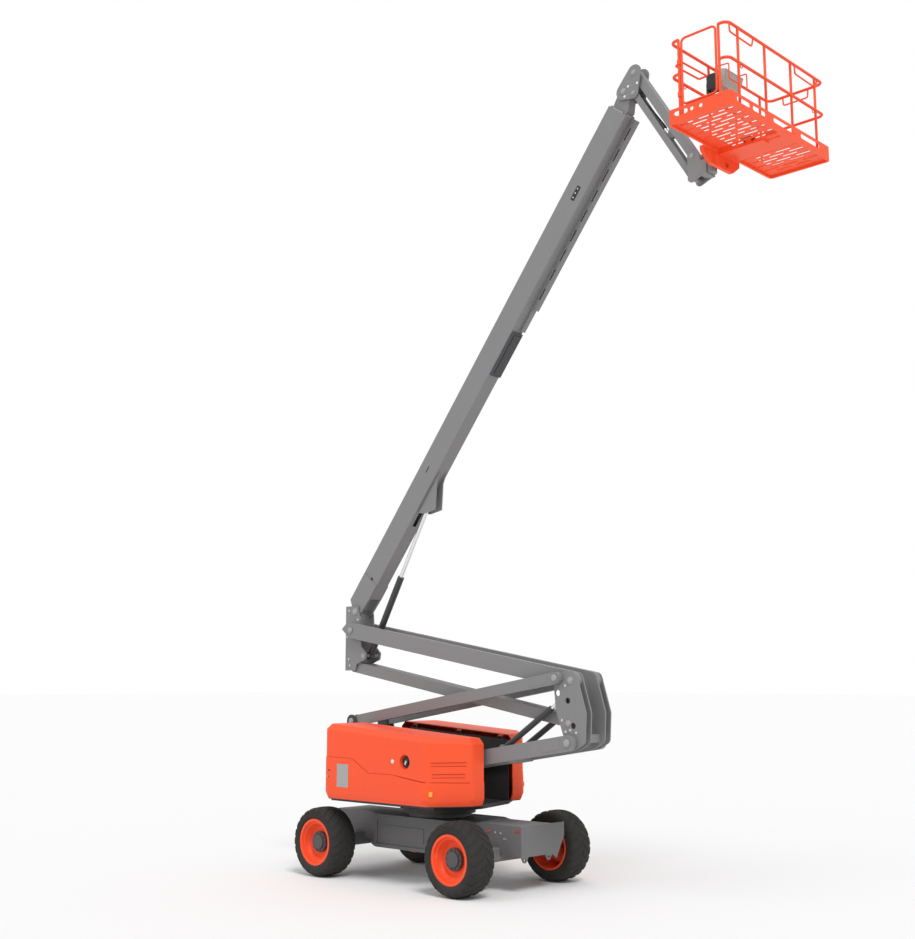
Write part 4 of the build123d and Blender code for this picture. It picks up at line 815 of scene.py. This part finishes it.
class LIFT_OT_platform_fittings(bpy.types.Operator):
    """Bend the platform's hand-holds, eyes and guard, and set the console's boxes and levers."""

    bl_idname = "lift.platform_fittings"
    bl_label = "Platform fittings"

    def execute(self, context):
        low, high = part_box("platform_rails")
        rail, thin, stout = 0.019, 0.011, 0.013
        front, right, left, rear = high[0] - rail, low[1] + rail, high[1] - rail, low[0] + rail
        top, tucked = high[2] - rail, high[2] - rail - 0.004
        eye_z, eye_in = 10.30, 0.30
        holds = []
        # hand-holds under the front rail and the left rail
        for start, end in ((right + 0.05, right + 0.60), (left - 0.75, left - 0.16)):
            holds += [hoop([(front, start, tucked), (front, start + 0.01, top - 0.12),
                            (front, end - 0.04, top - 0.13), (front, end, tucked)], thin, 0.07)]
        holds += [hoop([(rear + 0.22, left, tucked), (rear + 0.23, left, top - 0.12),
                        (front - 0.23, left, top - 0.12), (front - 0.22, left, tucked)], thin, 0.06)]
        # closed hoop beside the gate, held by the rear rail's post
        post, bend_z = (rear, -0.94, top - 0.27), top - 0.26
        holds += [hoop([post, (rear, -0.545, bend_z), (rear + 0.125, -0.555, bend_z),
                        (rear + 0.12, -1.10, top - 0.27), (rear + 0.005, -1.08, top - 0.27), post],
                       stout, 0.05)]
        settle(holds, "platform_hand_holds", "platform", "orange_paint")
        eyes = []
        for x in (front, rear):
            for y in (right + eye_in, left - eye_in):
                nothing_selected()
                bpy.ops.mesh.primitive_torus_add(
                    location=(x, y, eye_z), rotation=(radians(90), 0, radians(90)), major_radius=0.026,
                    minor_radius=0.006, major_segments=24, minor_segments=8)
                bpy.ops.object.shade_smooth()
                eyes += [context.object]
        settle(eyes, "platform_lanyard_eyes", "platform", "orange_paint")
        low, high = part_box("control_console")
        x0, x1, y0, y1, z0, z1 = low[0] + 0.033, high[0], low[1], high[1], 10.523, high[2]
        strap_deep = 0.045
        nothing_selected()
        bpy.ops.mesh.primitive_cube_add(size=1, location=((x0 + x1) / 2, 0, (z0 + z1) / 2))
        desk = context.object
        desk.scale = (x1 - x0, y1 - y0, z1 - z0)
        bpy.ops.object.transform_apply(location=True, rotation=True, scale=True)
        # the desk's top falls away to the rider, and its foot is drawn in
        for vertex in desk.data.vertices:
            if vertex.co.z > z1 - 0.01 and vertex.co.x > x1 - 0.01:
                vertex.co.z -= 0.055
            if vertex.co.z < z0 + 0.01 and vertex.co.x > x1 - 0.01:
                vertex.co.x -= 0.07
        bpy.ops.object.mode_set(mode="EDIT")
        bpy.ops.mesh.select_all(action="DESELECT")
        bpy.ops.object.mode_set(mode="OBJECT")
        for face in desk.data.polygons:
            face.select = face.normal.z > 0.5 or face.normal.x > 0.5
        bpy.ops.object.mode_set(mode="EDIT")
        bpy.ops.mesh.select_mode(type="FACE")
        bpy.ops.mesh.inset(thickness=0.018, depth=0.0, use_individual=True)
        bpy.ops.mesh.inset(thickness=0.003, depth=-0.004, use_individual=True)
        bpy.ops.object.mode_set(mode="OBJECT")
        soften(desk, 0.009)
        strap_top = z0 + 0.007
        strap = block((low[0] + strap_deep / 2, 0, (low[2] + strap_top) / 2),
                      (strap_deep, 0.06, strap_top - low[2]), 0.003)
        desk = settle([desk, strap], "console_desk", "platform", "console_plastic")
        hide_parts("control_console")
        levers, boots = [], []
        for y in (-0.12, 0.0, 0.13):
            foot = Vector(((x0 + x1) / 2 + 0.01, y, z1 - 0.036))
            boots += [stepped_bar(foot, foot + Vector((0.004, 0, 0.022)), (
                (0, 0.022), (0.3, 0.021), (0.6, 0.014), (1, 0.009)), 20)]
            levers += [stepped_bar(foot + Vector((0, 0, 0.006)), foot + Vector((0.004, 0, 0.034)), (
                (0, 0.006), (0.5, 0.006), (0.7, 0.012), (0.95, 0.012), (1, 0.008)), 18)]
        settle(boots + levers, "console_levers", "platform", "black_plastic")
        settle([stepped_bar((x1 - 0.045, 0.17, z1 - 0.050), (x1 - 0.042, 0.17, z1 - 0.022), (
            (0, 0.012), (0.4, 0.012), (0.5, 0.02), (0.9, 0.02), (1, 0.014)), 24)],
            "console_stop_button", "platform", "red_plastic")
        # the guard climbs each side of the desk and crosses in front of it
        back, ahead, beside = x0 + 0.02, x1 + 0.045, 0.006
        side_run = ((back, z0 + 0.02), (back, z1 + 0.012), (ahead, z1), (ahead, z0 + 0.05))
        guard = [(x, y1 + beside, z) for x, z in side_run]
        guard += [(x, y0 - beside, z) for x, z in reversed(side_run)]
        settle([hoop(guard, 0.009, 0.05)], "console_guard", "platform", "orange_paint")
        box_x, box_y = x0 + 0.06, y0 - 0.13
        settle([block((box_x, box_y, z0 - 0.02), (0.12, 0.15, 0.20), 0.012),
                block((box_x, box_y, z0 + 0.09), (0.10, 0.11, 0.03), 0.008),
                block((low[0] + strap_deep / 2, box_y, (low[2] + z0) / 2),
                      (strap_deep, 0.05, z0 - low[2]), 0.003)],
               "console_tool_box", "platform", "black_plastic")
        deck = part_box("platform_floor")[1][2]
        settle([block((rear + 0.40, 0, deck + 0.008), (0.16, 0.26, 0.018), 0.004),
                block((rear + 0.42, 0, deck + 0.027), (0.11, 0.12, 0.020), 0.006, (0, 9, 0))],
               "foot_switch", "platform", "black_plastic")
        return {"FINISHED"}


class LIFT_OT_chassis_fittings(bpy.types.Operator):
    """Set the ports and reflectors on the chassis frame's raised sides."""

    bl_idname = "lift.chassis_fittings"
    bl_label = "Chassis fittings"

    def execute(self, context):
        reds, greys = [], []
        frame_side = 0.330
        for side in (-1, 1):
            out = Vector((0, side, 0))
            face = side * frame_side
            for x, z, r, group in ((1.30, 0.80, 0.024, reds), (1.42, 0.79, 0.018, greys),
                                   (1.52, 0.785, 0.018, greys)):
                foot = Vector((x, face, z))
                group += [stepped_bar(foot - out * 0.002, foot + out * 0.010, (
                    (0, r), (0.55, r), (0.9, r * 0.8), (1, r * 0.55)), 24)]
            greys += [block((1.60, face + side * 0.003, 0.715), (0.055, 0.010, 0.022), 0.003)]
            reds += [block((1.83, face + side * 0.002, 0.83), (0.075, 0.008, 0.024), 0.002)]
        settle(reds, "chassis_reflectors", "chassis", "red_plastic")
        settle(greys, "chassis_ports", "chassis", "plate_grey")
        return {"FINISHED"}


class LIFT_OT_stage(bpy.types.Operator):
    """Set the floor, the lamps, the sky and the camera."""

    bl_idname = "lift.stage"
    bl_label = "Studio"

    def execute(self, context):
        stage = context.scene.lift_stage
        nothing_selected()
        bpy.ops.mesh.primitive_plane_add(size=400, location=(0, 0, 0))
        floor = context.object
        floor.name = "studio_floor"
        tone = bpy.data.materials.new("studio_floor")
        tone.use_nodes = True
        shader = tone.node_tree.nodes["Principled BSDF"]
        shader.inputs["Base Color"].default_value = (*stage.floor_tone, 1)
        shader.inputs["Roughness"].default_value = 0.9
        shader.inputs["Specular IOR Level"].default_value = 0.1
        floor.data.materials.append(tone)

        for name, strength, turn, spread in (
                ("key", stage.key, (38, 0, 62), 20), ("fill", stage.fill, (52, 0, -20), 40)):
            bpy.ops.object.light_add(type="SUN", rotation=[radians(a) for a in turn])
            lamp = context.object
            lamp.name = f"studio_{name}"
            lamp.data.energy = strength
            lamp.data.angle = radians(spread)

        sky = bpy.data.worlds.new("studio_sky")
        context.scene.world = sky
        sky.use_nodes = True
        tree = sky.node_tree
        back = tree.nodes["Background"]
        back.inputs["Color"].default_value = (1, 1, 1, 1)
        seen = new_node(tree, "ShaderNodeLightPath", -700, 200)
        either = new_node(tree, "ShaderNodeMath", -480, 200, operation="MAXIMUM")
        any_of = new_node(tree, "ShaderNodeMath", -300, 200, operation="MAXIMUM")
        level = new_node(tree, "ShaderNodeMapRange", -140, 200)
        level.inputs["To Min"].default_value = stage.sky
        level.inputs["To Max"].default_value = 1.0
        tree.links.new(seen.outputs["Is Camera Ray"], either.inputs[0])
        tree.links.new(seen.outputs["Is Glossy Ray"], either.inputs[1])
        tree.links.new(either.outputs[0], any_of.inputs[0])
        tree.links.new(seen.outputs["Is Transmission Ray"], any_of.inputs[1])
        tree.links.new(any_of.outputs[0], level.inputs["Value"])
        tree.links.new(level.outputs["Result"], back.inputs["Strength"])

        context.scene.view_settings.view_transform = "Standard"
        place, pitch, heading = (13.8868, -13.9352, 2.8970), 99.189, 44.118
        bpy.ops.object.camera_add(location=place, rotation=(radians(pitch), 0, radians(heading)))
        camera = context.object
        camera.name = "studio_camera"
        camera.data.lens = stage.lens
        camera.data.sensor_width = 36
        camera.data.clip_end = 500
        context.scene.camera = camera
        return {"FINISHED"}


class LIFT_PT_panel(bpy.types.Panel):
    """Lists the boom lift's building steps and settings."""

    bl_idname = "LIFT_PT_panel"
    bl_label = "Boom lift"
    bl_space_type = "VIEW_3D"
    bl_region_type = "UI"
    bl_category = "Boom lift"

    def draw(self, context):
        for step in steps:
            self.layout.operator(step.bl_idname)
        for group in ("lift_wheels", "lift_paint", "lift_stage"):
            settings = getattr(context.scene, group)
            for key in settings.__annotations__:
                self.layout.prop(settings, key)


steps = (
    LIFT_OT_steelwork, LIFT_OT_tyres, LIFT_OT_hubs, LIFT_OT_pins, LIFT_OT_hood_fittings,
    LIFT_OT_floor_tray, LIFT_OT_doublers, LIFT_OT_boom_fittings, LIFT_OT_platform_fittings,
    LIFT_OT_chassis_fittings, LIFT_OT_stage)
classes = (StageSettings, PaintSettings, WheelSettings, *steps, LIFT_PT_panel)


def register():
    for item in classes:
        bpy.utils.register_class(item)
    bpy.types.Scene.lift_stage = bpy.props.PointerProperty(type=StageSettings)
    bpy.types.Scene.lift_paint = bpy.props.PointerProperty(type=PaintSettings)
    bpy.types.Scene.lift_wheels = bpy.props.PointerProperty(type=WheelSettings)


def unregister():
    del bpy.types.Scene.lift_wheels
    del bpy.types.Scene.lift_paint
    del bpy.types.Scene.lift_stage
    for item in reversed(classes):
        bpy.utils.unregister_class(item)


def main():
    register()
    for step in steps:
        group, name = step.bl_idname.split(".")
        getattr(getattr(bpy.ops, group), name)()


if __name__ == "__main__":
    main()
